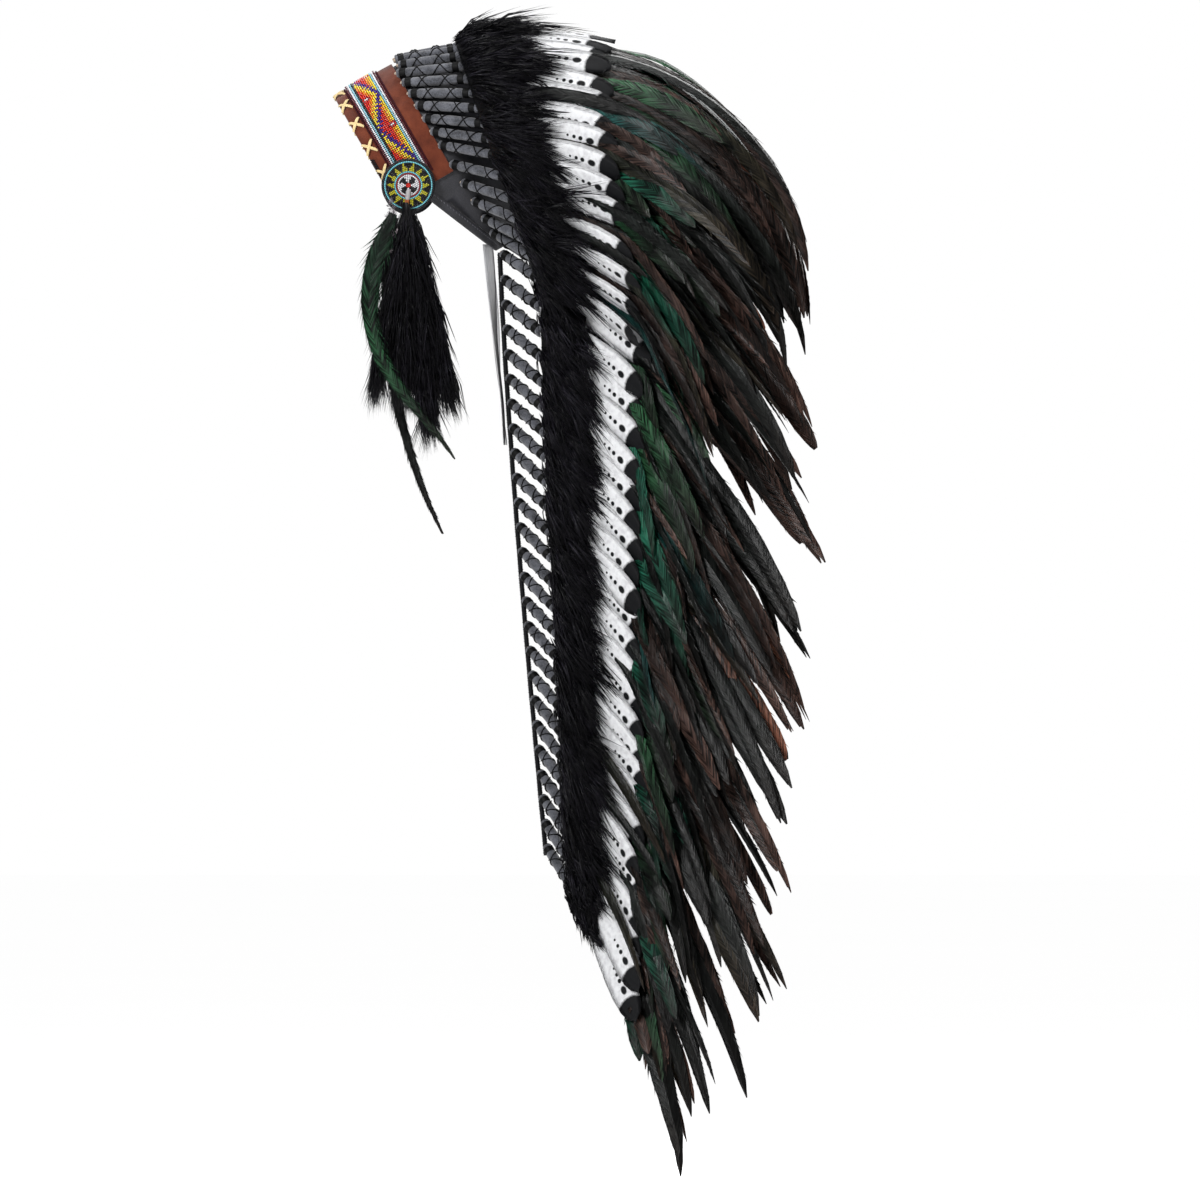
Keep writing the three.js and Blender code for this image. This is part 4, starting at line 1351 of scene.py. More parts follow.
@dataclass(frozen=True)
class Vane:
    """The shape of one feather past the end of its wrap, in millimetres."""

    start: float
    length: float
    half_width: float
    widths: tuple[tuple[float, float], ...]
    core: float = 0.5
    gap: float = 5.0
    sweep: float = 1.2
    camber: float = 0.16
    lift: float = 0.0
    tilt: float = 0.0
    stations: int = 22
    ragged: float = 0.15
    shaft: float = 0.7
    foot: float = 0.8
    over: float = 0.0
    hidden: float = 0.0
    gain: tuple[float, float] = (1.0, 1.0)

    def width_at(self, share: Points) -> Points:
        """Gives the half width at shares of the length: it may stay narrow until it is past the white feathers."""
        wide = self.half_width * np.interp(share, [w[0] for w in self.widths], [w[1] for w in self.widths])
        if self.hidden:
            wide = wide * np.interp(share * self.length, [0, self.hidden * 0.7, self.hidden * 1.15], [0.3, 0.4, 1.0])
        return wide

    def height_at(self, at: Points, across: Points, width: Points) -> Points:
        """Gives how high the vane lies: it is cambered and tilted, and may rise once it is past the white feathers."""
        share = across / np.maximum(width, 0.1)
        risen = self.over * np.clip((at - self.start - 128) / 60, 0, 1)
        return self.lift + risen + self.tilt * share - self.camber * np.abs(share) ** 1.6 * width

    def add_to(self, soup: Soup, path: Path, tint: "Tint", rng: np.random.Generator) -> None:
        """Builds the feather along a line.

        Args:
            soup: Where its triangles go.
            path: The line of its shaft.
            tint: Its colours.
            rng: The source of its unevenness.
        """
        chance = rng.uniform()
        tint = replace(tint, gain=rng.uniform(*self.gain))
        share = 1 - (1 - np.linspace(0, 1, self.stations)) ** 1.5
        width = np.maximum(self.width_at(share), 0.35)
        at = self.start + share * self.length
        rings, marks = [], []
        edge = [width * self.core * (1 + rng.normal(0, self.ragged * 0.22, len(at))) for _ in range(2)]
        for side, height in ((-1, 0.0), (-0.5, 0.3), (0, self.shaft), (0.5, 0.3), (1, 0.0), (0, -self.shaft * 0.8)):
            across = side * edge[int(side > 0)]
            shaft = height * (1.15 - share)
            rings.append(path.at(at, across, self.height_at(at, across, width) + shaft))
            marks.append(np.c_[self.mark(at), across, np.full(len(at), chance)])
        stack = np.stack(rings, axis=1)
        sides = len(rings)
        colours = tint.at(np.repeat(share, sides), np.tile([0.7, 0.25, 0.0, 0.25, 0.7, 0.0], len(share)), rng)
        soup.add(stack.reshape(-1, 3), loft(stack), colours, np.stack(marks, axis=1).reshape(-1, 3))
        self.add_barbs(soup, path, tint, rng, chance)

    def mark(self, at: Points) -> Points:
        """Gives the distance that the pattern reads: how far from the tip."""
        return self.start + self.length - at

    def add_barbs(self, soup: Soup, path: Path, tint: "Tint", rng: np.random.Generator, chance: float) -> None:
        """Builds the barbs that make the vane's loose edges."""
        count = int(self.length * 0.97 / self.gap)
        foot = np.repeat((np.arange(count) + 0.5) * self.gap, 2) + rng.normal(0, self.gap * 0.12, 2 * count)
        side = np.tile([-1.0, 1.0], count)
        foot_share = np.clip(foot / self.length, 0, 0.995)
        width = np.maximum(self.width_at(foot_share), 0.5)
        reach = np.minimum(foot + self.sweep * width * rng.uniform(0.8, 1.25, len(foot)),
                           self.length + rng.uniform(-1, 3, len(foot)))
        tip_width = self.width_at(np.clip(reach / self.length, 0, 1)) * (1 + rng.normal(0, self.ragged, len(foot)))
        tip_width = np.maximum(tip_width, 0.25)
        inner = side * width * self.core * 0.78
        corners, marks = [], []
        spread = self.gap * self.foot
        for shift, across, raise_by in ((-spread, inner, 0.0), (spread, inner, 0.0), (0.0, inner, 0.45)):
            place = self.start + foot + shift
            corners.append(path.at(place, across, self.height_at(place, across, width) + raise_by))
            marks.append(np.c_[self.mark(self.start + foot + shift), across, np.full(len(foot), chance)])
        outer = side * tip_width
        flutter = rng.normal(0, 0.05, len(foot)) * width
        corners.append(path.at(self.start + reach, outer,
                               self.height_at(self.start + reach, outer, np.maximum(tip_width, width * 0.6)) + flutter))
        marks.append(np.c_[self.mark(self.start + reach), outer, np.full(len(foot), chance)])
        points = np.stack(corners, axis=1)
        edge = np.tile([0.35, 0.35, 0.35, 1.0], len(foot))
        colours = tint.at(np.repeat(foot_share, 4), edge, rng)
        soup.add(points.reshape(-1, 3), repeat_faces(BARB_FACES, points), colours,
                 np.stack(marks, axis=1).reshape(-1, 3))


@dataclass(frozen=True)
class Tint:
    """How a feather's colour runs from its foot to its tip, and towards its edges."""

    stops: tuple[tuple[float, str], ...]
    edge: str | None = None
    edge_share: float = 0.6
    uneven: float = 0.25
    gain: float = 1.0

    def at(self, share: Points, edge: Points, rng: np.random.Generator) -> Points:
        """Gives linear colours.

        Args:
            share: How far along the feather.
            edge: How far from the shaft to the edge.
            rng: The source of its unevenness.

        Returns:
            One colour a row.
        """
        table = np.array([linear(colour) for _, colour in self.stops])
        places = [at for at, _ in self.stops]
        colour = np.stack([np.interp(share, places, table[:, i]) for i in range(3)], axis=-1)
        if self.edge:
            weight = (edge * self.edge_share)[:, None]
            colour = colour * (1 - weight) + np.array(linear(self.edge)) * weight
        return colour * self.gain * (1 + rng.uniform(-self.uneven, self.uneven, len(share)))[:, None]


class Coque(Enum):
    """The kinds of cock's tail feather, by how their colour runs."""

    BLACK = Tint(((0, "#030404"), (0.5, "#060807"), (0.8, "#080908"), (1, "#0E0B0A")), "#0E1010", 0.4)
    GREEN = Tint(((0, "#050606"), (0.2, "#0A221B"), (0.42, "#11402F"), (0.7, "#0B241C"), (1, "#100F0D")), "#12382B",
                 0.3)
    TEAL = Tint(((0, "#050606"), (0.25, "#0A1C1B"), (0.45, "#0E302D"), (0.75, "#0A1918"), (1, "#100F0F")),
                "#11302E", 0.3)
    MOSS = Tint(((0, "#060707"), (0.25, "#0C1911"), (0.5, "#16301E"), (0.75, "#0F1811"), (1, "#12100E")), "#1A3322",
                0.35)
    OLIVE = Tint(((0, "#050504"), (0.4, "#0B0D0A"), (0.7, "#12110C"), (1, "#17110D")), "#1A1811", 0.45)
    BROWN = Tint(((0, "#070606"), (0.4, "#0F0C0B"), (0.75, "#1A1311"), (1, "#271B17")), "#2C201B", 0.45)
    COPPER = Tint(((0, "#0A0807"), (0.45, "#17100E"), (0.72, "#2F1F19"), (1, "#44291F")), "#4E3327", 0.5)


POINTED = ((0, 0.35), (0.12, 0.8), (0.4, 1.0), (0.74, 0.95), (0.88, 0.75), (0.96, 0.45), (1, 0.08))
BLUNT = ((0, 0.3), (0.2, 0.65), (0.5, 0.9), (0.8, 1.0), (0.93, 0.85), (0.98, 0.55), (1, 0.25))
ROUND = ((0, 0.22), (0.25, 0.5), (0.5, 0.85), (0.66, 1.0), (0.8, 0.98), (0.9, 0.84), (0.96, 0.58), (1, 0.12))


@dataclass
class WhiteFeathers:
    """The white feathers that overlap like shingles, each over the one before it in the row."""

    length: float = 152.0
    half_width: float = 15.5
    lift: float = 6.6
    tilt: float = -3.2

    def build(self) -> None:
        """Makes the feathers of the crown and of both edges of the trail."""
        crown = [(abs(row), Side.LEFT if row >= 0 else Side.RIGHT) for row in range(-CROWN_LAST, CROWN_LAST + 1)]
        self.build_group("crown_white_vanes", crown, "crown_white_feathers")
        for side in Side:
            rows = [(row, side) for row in range(TRAIL_FIRST, TRAIL_LAST + 1)]
            name = side.name.lower()
            self.build_group(f"trail_white_vanes_{name}", rows, f"trail_white_feathers_{name}")

    def build_group(self, name: str, rows: list[tuple[int, Side]], node: str) -> None:
        """Makes one mesh of white feathers."""
        soup = Soup()
        rng = np.random.default_rng(len(name) + 29)
        white = Tint(((0, "#FFFFFF"), (1, "#FFFFFF")), uneven=0.0)
        for row, side in rows:
            tweak = Tweak(rise=rng.uniform(-2, 2), turn=rng.uniform(-1.5, 1.5), twist=rng.uniform(-4, 4),
                          shift=rng.uniform(-1.2, 1.2), roll=roll_of(row))
            path = unit_path(row, side, tweak)
            narrow = 0.72 if row < 2 else 0.85 if row < 5 else 1.0
            length = self.length + rng.uniform(-4, 3) - (0 if row > CROWN_LAST else 9)
            vane = Vane(wrap_length(row) + 5, length, self.half_width * narrow, ROUND, core=0.99, gap=3.2,
                        sweep=0.5, camber=0.08, lift=self.lift, tilt=self.tilt * narrow,
                        stations=34, ragged=0.04, shaft=0.7,
                        foot=0.4)
            vane.add_to(soup, path, white, rng)
        dress(soup.make(name, smooth=True), WHITE_FEATHER, "white_feather", node)


@dataclass
class Plumes:
    """Seven cock's tail feathers in each unit, and now and then one or two more.

    The first is as long as the unit. Those beside it are shorter, and green ones lie nearest the white feathers.
    """

    half_width: float = 10.0
    start: float = 4.0  # where a feather's vane starts past the wrap
    late: float = 105  # where it starts to twist and drop, once it is past most of the white feathers
    hang_crown: float = 0.5  # how much of the drop the crown's units take, since they lie over the ones below

    def build(self) -> None:
        """Makes the plumes of the crown and of both edges of the trail."""
        crown = [(abs(row), Side.LEFT if row >= 0 else Side.RIGHT) for row in range(-CROWN_LAST, CROWN_LAST + 1)]
        self.build_group("crown_plume_vanes", crown, "crown_plumes", 41)
        for side in Side:
            rows = [(row, side) for row in range(TRAIL_FIRST, TRAIL_LAST + 1)]
            name = side.name.lower()
            self.build_group(f"trail_plume_vanes_{name}", rows, f"trail_plumes_{name}", 43)

    def build_group(self, name: str, rows: list[tuple[int, Side]], node: str, seed: int) -> None:
        """Makes one mesh of plumes."""
        soup = Soup()
        rng = np.random.default_rng(seed)
        for row, side in rows:
            self.add_unit(soup, row, side, rng)
        dress(soup.make(name, smooth=False), DARK_FEATHER, "dark_feather", node)

    def add_unit(self, soup: Soup, row: int, side: Side, rng: np.random.Generator) -> None:
        """Adds the feathers of one unit, the longest first."""
        wrap, full = wrap_length(row), row_value("length", row)
        long = full * UNEVEN[row % 8]
        dark = (Coque.BLACK, Coque.BROWN, Coque.BLACK, Coque.OLIVE, Coque.BLACK, Coque.BROWN)
        vivid = (Coque.GREEN, Coque.MOSS, Coque.TEAL, Coque.GREEN, Coque.MOSS, Coque.BROWN)

        hang = 1.0 if row >= CROWN_LAST - 2 else self.hang_crown

        def feather(kinds: tuple, share: tuple[float, float], half: tuple[float, float], lift: float, over: float,
                    rise: float, turn: tuple[float, float], drop: tuple[float, float], shift: float,
                    widths: tuple = POINTED, hidden: float = 125) -> None:
            """Adds one feather, with its share of the unit's length and its turns each between two values."""
            tweak = Tweak(rise=rng.uniform(-rise, rise), turn=rng.uniform(*turn), drop=rng.uniform(*drop) * hang,
                          twist=rng.uniform(-38, 38), shift=shift + rng.uniform(-3, 3), late=self.late,
                          roll=roll_of(row))
            kind = kinds[rng.integers(len(kinds))]
            path = unit_path(row, side, tweak)
            length = long * rng.uniform(*share) - wrap - self.start
            Vane(wrap + self.start, length, rng.uniform(*half), widths, core=0.94, gap=7.4, sweep=1.5, camber=0.26,
                 lift=lift, stations=18, ragged=0.16, shaft=0.6, foot=0.4, over=over, hidden=hidden,
                 gain=(0.35, 1.7)).add_to(soup, path, kind.value, rng)

        wide = (self.half_width * 0.75, self.half_width * 1.15)
        slim = (self.half_width * 0.4, self.half_width * 0.75)
        broad = (self.half_width * 0.95, self.half_width * 1.25)
        feather(dark, (0.97, 1.0), wide, -0.5, 0.0, 1.5, (-3, 2), (-4, 6), 0.0)
        feather(dark, (0.84, 0.97), slim, -2.2, -3.0, 4, (-7, 3), (-10, 18), 6.0)
        feather(dark, (0.74, 0.92), wide, -3.8, 2.0, 4, (-6, 6), (-8, 20), -6.0)
        feather(dark, (0.7, 0.86), slim, -2.5, 4.0, 4, (-5, 6), (-4, 30), -2.0)
        feather(vivid, (0.62, 0.8), broad, -3.5, 12.0, 2, (-4, 5), (0, 28), -5.0, hidden=150)
        feather(vivid, (0.56, 0.72), broad, -3.0, 14.0, 2, (-4, 4), (8, 38), 4.0, hidden=150)
        feather(dark, (0.62, 0.76), slim, -2.0, 9.0, 2, (-4, 6), (0, 34), 0.0, hidden=150)
        if rng.uniform() < (0.1 if row > CROWN_LAST else 0.08):
            feather((Coque.BLACK, Coque.OLIVE), (0.52, 0.64), slim, 11.0, 2.0, 4, (-2, 4), (0, 12), 5.0, hidden=0)
        if rng.uniform() < 0.3:
            feather((Coque.COPPER, Coque.BROWN), (0.86, 0.94), wide, -5.0, 0.0, 2, (-6, 0), (-5, 4), 9.0, BLUNT)


# ---------------------------------------------------------------- fur


@dataclass
class FurField:
    """Locks of fur: many strands that start together and lean the same way."""

    roots: list[Points] = field(default_factory=list)
    leans: list[Points] = field(default_factory=list)
    lengths: list[Points] = field(default_factory=list)
    bends: list[Points] = field(default_factory=list)

    def lock(self, root: Points, lean: Points, length: Points, bend: Points) -> None:
        """Notes locks: where they start, which way and how far they go, and how their ends turn."""
        self.roots.append(root)
        self.leans.append(lean)
        self.lengths.append(length)
        self.bends.append(bend)

    def build(self, name: str, strands: int, spread: float, width: float, rng: np.random.Generator,
              ends: tuple[str, str] = ("#050507", "#2A2830")) -> Soup:
        """Makes the strands of all locks.

        Args:
            name: What they are called in the log.
            strands: How many there are in each lock.
            spread: How far apart their roots are.
            width: How thick they are at their roots.
            rng: The source of their unevenness.
            ends: The colours of the darkest and the lightest strand; on the black fur the grey-purple lightest strands
                are painted sheen.

        Returns:
            Their triangles.
        """
        root = np.repeat(np.concatenate(self.roots), strands, axis=0)
        lean = np.repeat(np.concatenate(self.leans), strands, axis=0)
        length = np.repeat(np.concatenate(self.lengths), strands) * rng.uniform(0.6, 1.12, len(root))
        bend = np.repeat(np.concatenate(self.bends), strands, axis=0)
        tone = np.repeat(rng.uniform(0, 1, len(root) // strands), strands)
        offset = rng.normal(0, spread, root.shape)
        own = unit(lean + rng.normal(0, 0.12, lean.shape))
        start = root + offset
        middle = start + own * (length * 0.4)[:, None] + bend * (length * 0.1)[:, None] - offset * 0.2
        tip = root + offset * 0.35 + own * length[:, None] + bend * (length * 0.62)[:, None]
        side = unit(np.cross(own, rng.normal(0, 1, own.shape)))
        other = np.cross(own, side)
        thick = (width * 0.55 * rng.uniform(0.6, 1.25, len(root)))[:, None]
        corners = [start]
        for k in range(3):
            a = 2 * math.pi * k / 3
            corners.append(middle + (side * math.cos(a) + other * math.sin(a)) * thick)
        corners.append(tip)
        points = np.stack(corners, axis=1)
        # Each lock's tone differs at random; on the black fur the lightest, grey-purple strands are painted sheen.
        dark, cool = (np.array(linear(colour)) for colour in ends)
        shade = np.clip(tone * 0.6 + rng.uniform(0, 0.4, len(root)), 0, 1)[:, None] ** 2.4
        tints = np.repeat(dark + (cool - dark) * shade, 5, axis=0)
        soup = Soup()
        soup.add(points.reshape(-1, 3), repeat_faces(STRAND_FACES, points), tints)
        LOG.info("%s: %d strands", name, len(root))
        return soup


@dataclass
class RowFur:
    """The fur strip that is wound over the feathers' feet, just past the wraps."""

    section: tuple[tuple[float, float], ...] = ((-2, 0), (2, 0.45), (22, 0.72), (44, 0.5), (60, 0.12), (34, 0.05))
    underside: float = 7.6
    crown_reach: float = 1.4
    trail_past: float = 11.0

    def build(self) -> None:
        """Makes the fur of the crown and of both edges of the trail."""
        crown = [(abs(r), Side.LEFT if r >= 0 else Side.RIGHT, True) for r in np.arange(-CROWN_LAST,
                                                                                        CROWN_LAST + 0.01, 0.5)]
        self.build_group("crown_fur_strip", crown, "crown_fur", 900, 61)
        for side in Side:
            rows = [(r, side, False) for r in np.arange(TRAIL_FIRST, TRAIL_LAST + 0.01, 0.5)]
            name = side.name.lower()
            self.build_group(f"trail_fur_strip_{name}", rows, f"trail_fur_{name}", 900, 67)

    def build_group(self, name: str, rows: list[tuple[float, Side, bool]], node: str, locks: int, seed: int) -> None:
        """Makes the fur's dark skin and the locks that grow on it."""
        rng = np.random.default_rng(seed)
        paths = [(unit_path(row, side, crown=crown), wrap_length(row), row_value("fur", row)) for row, side,
                 crown in rows]
        skin = []
        if not rows[0][2]:
            paths = [(path, wrap + self.trail_past, height * 0.75) for path, wrap, height in paths]
        for path, wrap, height in paths:
            past = np.array([p for p, _ in self.section]) + wrap
            high = np.array([s for _, s in self.section]) * height * 0.8 + self.underside
            skin.append(path.at(past, np.zeros(len(past)), high))
        stack = np.stack(skin)
        fur = FurField()
        index = rng.uniform(0, len(paths) - 1.001, locks)
        low = index.astype(int)
        part = (index - low)[:, None]
        past = np.where(rng.uniform(size=locks) < 0.78, rng.uniform(-3, 40, locks), rng.uniform(34, 58, locks))
        reach = self.crown_reach if rows[0][2] else 1.2

        def read(which: int, k: int) -> tuple[Points, Points, Points, Points]:
            path, wrap, height = paths[which]
            share = np.interp(past[k], [-3, 4, 22, 44, 60], [0.1, 0.45, 0.7, 0.45, 0.08])
            at = np.array([wrap + past[k]])
            zero = np.zeros(1)
            place = path.at(at, zero, np.array([self.underside + share * height * 0.75]))[0]
            ahead = path.at(at + 1, zero, zero)[0] - path.at(at, zero, zero)[0]
            out = path.at(at, zero, np.ones(1))[0] - path.at(at, zero, zero)[0]
            side_way = path.at(at, np.ones(1), zero)[0] - path.at(at, zero, zero)[0]
            return place, ahead, out, side_way

        first = [read(low[k], k) for k in range(locks)]
        second = [read(low[k] + 1, k) for k in range(locks)]
        place, ahead, out, side_way = (np.array([a[i] for a in first]) * (1 - part) + np.array([b[i] for b in second]) * part
                                       for i in range(4))
        rise = np.interp(past, [-3, 10, 40, 56], [0.75, 0.55, 0.25, 0.1])[:, None]
        loose = np.interp(past, [0, 18], [0.3, 1.0])[:, None]
        swirl = (np.sin(index * 0.83 + 1.1) + np.sin(index * 2.1 + past * 0.09))[:, None] * 0.24
        lean = unit(ahead + out * (rise + rng.normal(0, 0.2, (locks,
                                                              1))) + side_way * loose * (swirl + rng.normal(0, 0.3,
                                                                                                            (locks,
                                                                                                             1))))
        length = rng.uniform(17, 33, locks) * np.where(rng.uniform(size=locks) < 0.16, 1.5, 1.0) * reach
        fading = np.interp(index, [len(paths) - 9, len(paths) - 2], [1.0, 1.0 if rows[0][2] else 0.42])
        length = length * fading
        weight = np.array([0, 0, -0.25 if rows[0][2] else -0.5]) * fading[:, None]
        bend = ahead * 0.35 - out * 0.35 + weight + side_way * rng.normal(0, 0.15, (locks, 1))
        fur.lock(place, lean, length, bend)
        soup = fur.build(name, 15, 2.1, 1.4, rng)
        soup.add(stack.reshape(-1, 3), loft(stack), linear("#0A0A0C"))
        dress(soup.make(name, smooth=True), BLACK_FUR, "black_fur", node)


@dataclass(frozen=True)
class DropPoint:
    """A point on a hanging plume in the side view, with the plume's width there."""

    x: float
    z: float
    width: float


@dataclass(frozen=True)
class DropLock:
    """A hanging lock of fur in the side view: its tip, its half width, and where along it is widest."""

    x: float
    z: float
    half: float
    at: float


@dataclass
class Drops:
    """The fur tassel and the two loose plumes that hang from each rosette."""

    fur_side: float = -92.0
    green_side: float = -108.0
    dark_side: float = -81.0
    head: tuple[float, float] = (-39.0, -45.0)
    green: tuple[DropPoint, ...] = (
        DropPoint(-50, -56, 10), DropPoint(-66, -92, 22), DropPoint(-73, -134, 20), DropPoint(-71, -167, 16),
        DropPoint(-62, -199, 13), DropPoint(-28, -243, 10), DropPoint(7, -289, 2))
    dark: tuple[DropPoint, ...] = (
        DropPoint(-50, -62, 7), DropPoint(-57, -112, 9), DropPoint(-58, -156, 10), DropPoint(-54, -199, 10),
        DropPoint(-44, -250, 10), DropPoint(-24, -316, 7), DropPoint(-4, -361, 2))
    locks: tuple[DropLock, ...] = (
        DropLock(-14, -270, 20, 0.5), DropLock(8, -244, 15, 0.5), DropLock(-44, -236, 15, 0.55), DropLock(-72, -228,
                                                                                                          8, 0.75))

    def build(self) -> None:
        """Makes the drops of both rosettes."""
        for side in Side:
            self.build_fur(side)
            self.build_plume(side, "green", self.green, self.green_side, Coque.MOSS, 71)
            self.build_plume(side, "dark", self.dark, self.dark_side, Coque.BLACK, 73)

    def build_plume(self, side: Side, kind: str, table: tuple[DropPoint, ...], y: float, tint: Coque,
                    seed: int) -> None:
        """Makes one loose plume along its table."""
        x, z, width = (np.array([getattr(p, key) for p in table], float) for key in ("x", "z", "width"))
        run = np.concatenate([[0], np.cumsum(np.hypot(np.diff(x), np.diff(z)))])
        fine = np.linspace(0, run[-1], 60)
        smooth = np.polyfit(run, x, 4)
        place = np.stack([np.polyval(smooth, fine), np.full(60, y), np.interp(fine, run, z)], axis=-1)
        heading = unit(np.gradient(place, axis=0))
        outward = np.broadcast_to([0.0, -1.0, 0.0], place.shape).copy()
        sideways = np.cross(heading, outward)
        path = Path(fine, place, heading, sideways, outward)
        if side is Side.RIGHT:
            for values in (path.place, path.heading, path.sideways, path.outward):
                values[:, 1] *= -1
        widths = tuple((r / run[-1], w / width.max()) for r, w in zip(run, width))
        soup = Soup()
        rng = np.random.default_rng(seed)
        Vane(0, run[-1], width.max() / 2 * 1.08, widths, core=0.7, gap=2.6, sweep=2.0, camber=0.25, stations=30,
             ragged=0.2,
             shaft=0.6, foot=0.7).add_to(soup, path, tint.value, rng)
        name = side.name.lower()
        dress(soup.make(f"drop_{kind}_vane_{name}", smooth=False), DARK_FEATHER, "dark_feather",
              f"drop_{kind}_plume_{name}")

    def build_fur(self, side: Side) -> None:
        """Makes the tassel: four hanging locks of long strands round dark cores."""
        rng = np.random.default_rng(83)
        fur = FurField()
        core = Soup()
        sign = side.value
        for lock in self.locks:
            share = np.array([0, 0.12, 0.3, lock.at, 0.75, 0.9])
            size = np.array([2.5, lock.half * 0.3, lock.half * 0.5, lock.half * 0.62, lock.half * 0.35, 1.0])
            centre = self.centre(lock, share)
            turn = np.linspace(0, 2 * math.pi, 8, endpoint=False)
            deep = np.minimum(size, 6.0)
            ring = np.stack([centre[:, None, 0] + size[:, None] * np.cos(turn),
                             centre[:, None, 1] + deep[:, None] * np.sin(turn),
                             centre[:, None, 2] + 0 * turn[None]], axis=-1)
            ring[:, :, 1] *= sign
            core.add(ring.reshape(-1, 3), loft(ring), linear("#09090B"))
            count = int(lock.half * 8)
            at = rng.uniform(0, 0.82, count) ** 0.85
            angle = rng.uniform(0, 2 * math.pi, count)
            middle = self.centre(lock, at)
            radius = np.interp(at, share, size) * rng.uniform(0.5, 1.0, count)
            root = middle + np.stack([radius * np.cos(angle), np.minimum(radius, 6) * np.sin(angle),
                                      np.zeros(count)], axis=-1)
            down = unit(self.centre(lock, at + 0.05) - middle)
            out = np.stack([np.cos(angle), 0.8 * np.sin(angle), np.zeros(count)], axis=-1)
            lean = unit(down + out * np.interp(at, [0, 0.4, 0.8], [0.36, 0.22, 0.05])[:, None] + rng.normal(0, 0.08,
                                                                                                            (count, 3)))
            room = (1.0 - at) * (self.head[1] - lock.z)
            length = np.minimum(rng.uniform(34, 66, count), room * rng.uniform(0.7, 1.1, count) + rng.uniform(0, 9,
                                                                                                              count))
            bend = np.array([0, 0, -0.35]) - out * 0.3
            for values in (root, lean, bend):
                values[:, 1] *= sign
            fur.lock(root, lean, length, bend)
        name = side.name.lower()
        soup = fur.build(f"drop {name}", 14, 1.9, 1.15, rng)
        # Grey down shows where the green plume leaves the tassel.
        down = FurField()
        root = np.array([-52.0, self.green_side + 6, -62.0]) + rng.normal(0, 1, (26, 3)) * (2.0, 2.0, 11.0)
        lean = unit(rng.normal(0, 0.5, (26, 3)) + (-0.5, -0.5, -0.5))
        root[:, 1] *= sign
        lean[:, 1] *= sign
        down.lock(root, lean, rng.uniform(5, 10, 26), rng.normal(0, 0.2, (26, 3)))
        fluff = down.build(f"down {name}", 9, 1.0, 0.6, rng, ("#57505A", "#B5A9AE"))
        dress(fluff.make(f"drop_down_{name}", smooth=True), BLACK_FUR, "black_fur")
        soup.add(np.concatenate(core.points), np.concatenate(core.triangles), linear("#09090B"))
        dress(soup.make(f"drop_tassel_{name}", smooth=True), BLACK_FUR, "black_fur", f"drop_fur_{name}")

    def centre(self, lock: DropLock, share: Points) -> Points:
        """Gives the middle line of a lock at shares of its length."""
        x = self.head[0] + (lock.x - self.head[0]) * share**1.2
        z = self.head[1] + (lock.z - self.head[1]) * share
        return np.stack([x, np.full_like(x, self.fur_side), z], axis=-1)


# ---------------------------------------------------------------- trail and ties


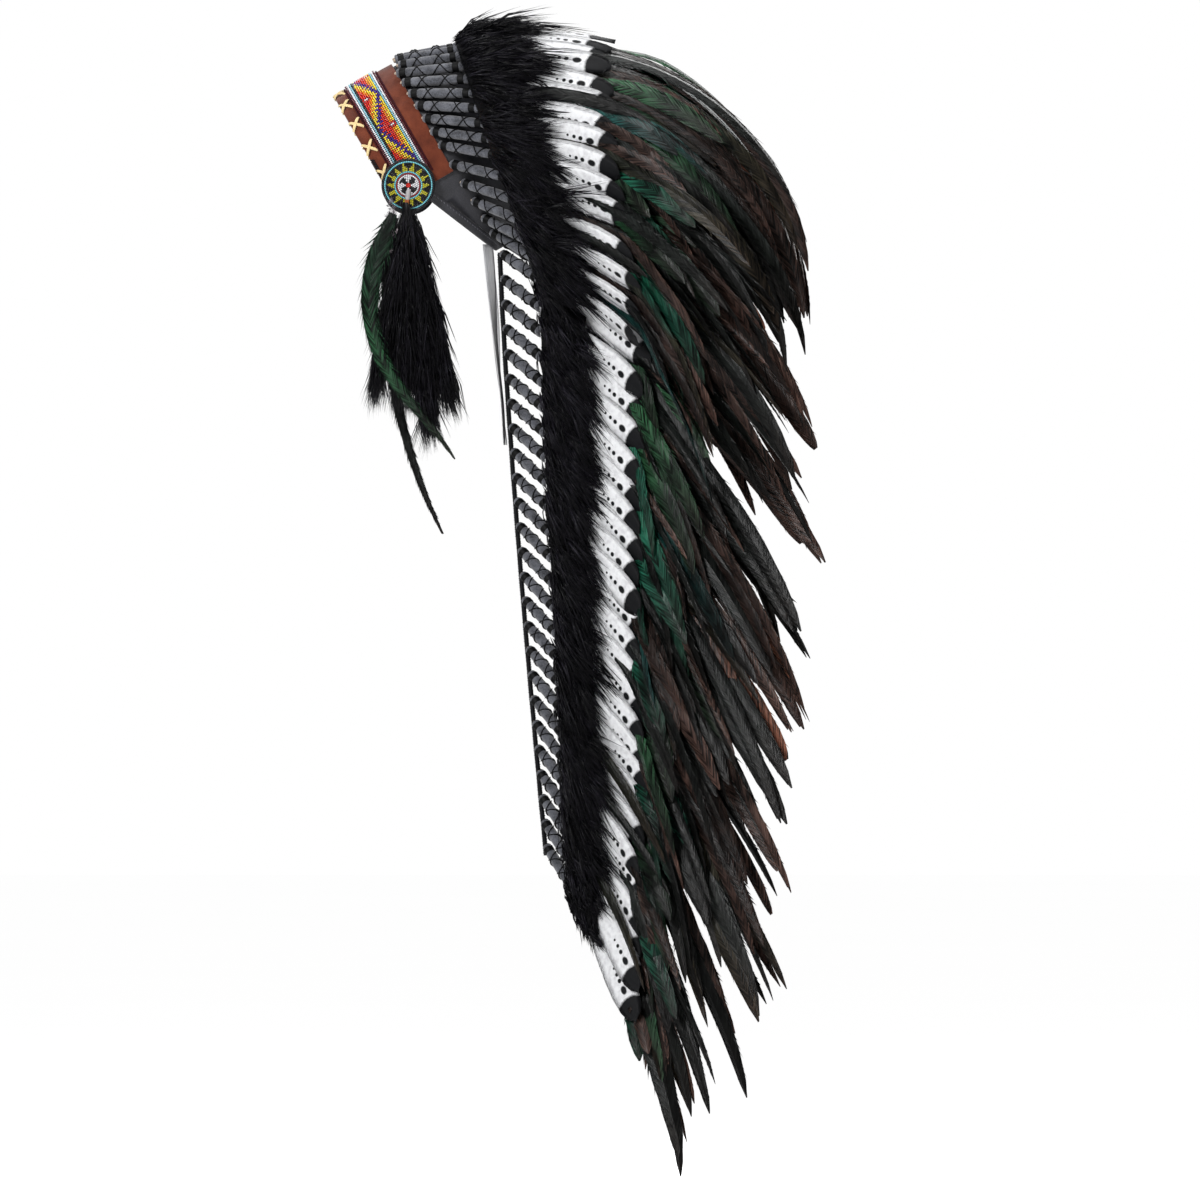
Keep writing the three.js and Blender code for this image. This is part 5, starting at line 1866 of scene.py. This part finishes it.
@dataclass
class TrailStrip:
    """The cloth strip of the trail with its two bound edge cords."""

    under_cord: float = 2.0  # how far the cloth reaches under each cord, so that no slit shows between them

    def build(self) -> None:
        """Makes the strip and its cords."""
        bm = bmesh.new()
        bmesh.ops.create_grid(bm, x_segments=16, y_segments=90, size=1.0)
        for vert in bm.verts:
            z = TRAIL.bottom + (TRAIL.top - TRAIL.bottom) * (vert.co.y + 1) / 2
            y = vert.co.x * (TRAIL.half_width + self.under_cord)
            bulge = 0.5 * math.sin(z * 0.05) * math.cos(vert.co.x * 1.5)
            vert.co = Vector((float(TRAIL.x_at(z)) + 0.9 + bulge, y, z)) * MM
        bmesh.ops.recalc_face_normals(bm, faces=bm.faces)
        bm.faces.ensure_lookup_table()
        if bm.faces[0].normal.x < 0:
            bmesh.ops.reverse_faces(bm, faces=bm.faces)
        bmesh.ops.solidify(bm, geom=bm.faces[:], thickness=TRAIL.wall * 0.9 * MM)
        dress(finish_bmesh(bm, "trail_cloth", recalc=False), BLACK_CLOTH, "black_cloth", "trail_strip")
        for side in Side:
            self.build_cord(side)

    def build_cord(self, side: Side) -> None:
        """Makes the twisted cord along one edge."""
        z = np.linspace(TRAIL.top + 3, TRAIL.last_unit - 11, 260)
        sides = 8
        turn = np.linspace(0, 2 * math.pi, sides, endpoint=False)
        twist = (z * 0.9)[:, None] + turn[None]
        radius = TRAIL.cord * (0.86 + 0.1 * np.cos(3 * turn[None]))
        y = side.value * -(TRAIL.half_width + CORD_GAP + TRAIL.cord)
        ring = np.stack([TRAIL.x_at(z)[:, None] + radius * np.cos(twist), y + radius * np.sin(twist),
                         np.repeat(z[:, None], sides, 1)], axis=-1)
        soup = Soup()
        soup.add(ring.reshape(-1, 3), loft(ring), linear("#131317"))
        dress(soup.make(f"trail_cord_{side.name.lower()}", smooth=True), WAXED_THREAD, "black_cloth")


@dataclass
class Ribbons:
    """The two satin ties that hang from the cap at the nape."""

    width: float = 11.0
    thick: float = 0.5
    y: float = -13.0
    top: tuple[float, float] = (39.4, -84.0)
    bottom: tuple[float, float] = (56.0, -276.0)
    turn: float = 55.0

    def build(self) -> None:
        for side in Side:
            bm = bmesh.new()
            bmesh.ops.create_grid(bm, x_segments=6, y_segments=60, size=1.0)
            for vert in bm.verts:
                share = (1 - vert.co.y) / 2
                turn = math.radians(self.turn * (1 - share) + 9 * math.sin(share * 7 + side.value))
                x = (self.top[0] + (self.bottom[0] - self.top[0]) * share
                     + 1.1 * math.sin(share * 9 + side.value) * share)
                z = self.top[1] + (self.bottom[1] - self.top[1]) * share
                across = vert.co.x * self.width / 2
                y = self.y + 0.8 * math.sin(share * 11)
                vert.co = Vector((x + math.sin(turn) * across, side.value * (y + math.cos(turn) * across), z)) * MM
            bmesh.ops.recalc_face_normals(bm, faces=bm.faces)
            bmesh.ops.solidify(bm, geom=bm.faces[:], thickness=self.thick * MM)
            name = side.name.lower()
            piece = dress(finish_bmesh(bm, f"satin_tie_{name}", recalc=False), GREY_SATIN, "grey_satin",
                          f"tie_ribbon_{name}")


def main() -> None:
    """Builds the studio and the headdress."""
    logging.basicConfig(level=logging.INFO, format="%(message)s")
    Studio().build()
    for part in (Cap(), Ribbons(), BrowBand(), Lacing(), BeadStrip(), Rosette(), Wraps(), TrailStrip(), WhiteFeathers(),
                 Plumes(), RowFur(), Drops()):
        part.build()
        LOG.info("made %s", type(part).__name__)


if __name__ == "__main__":
    main()
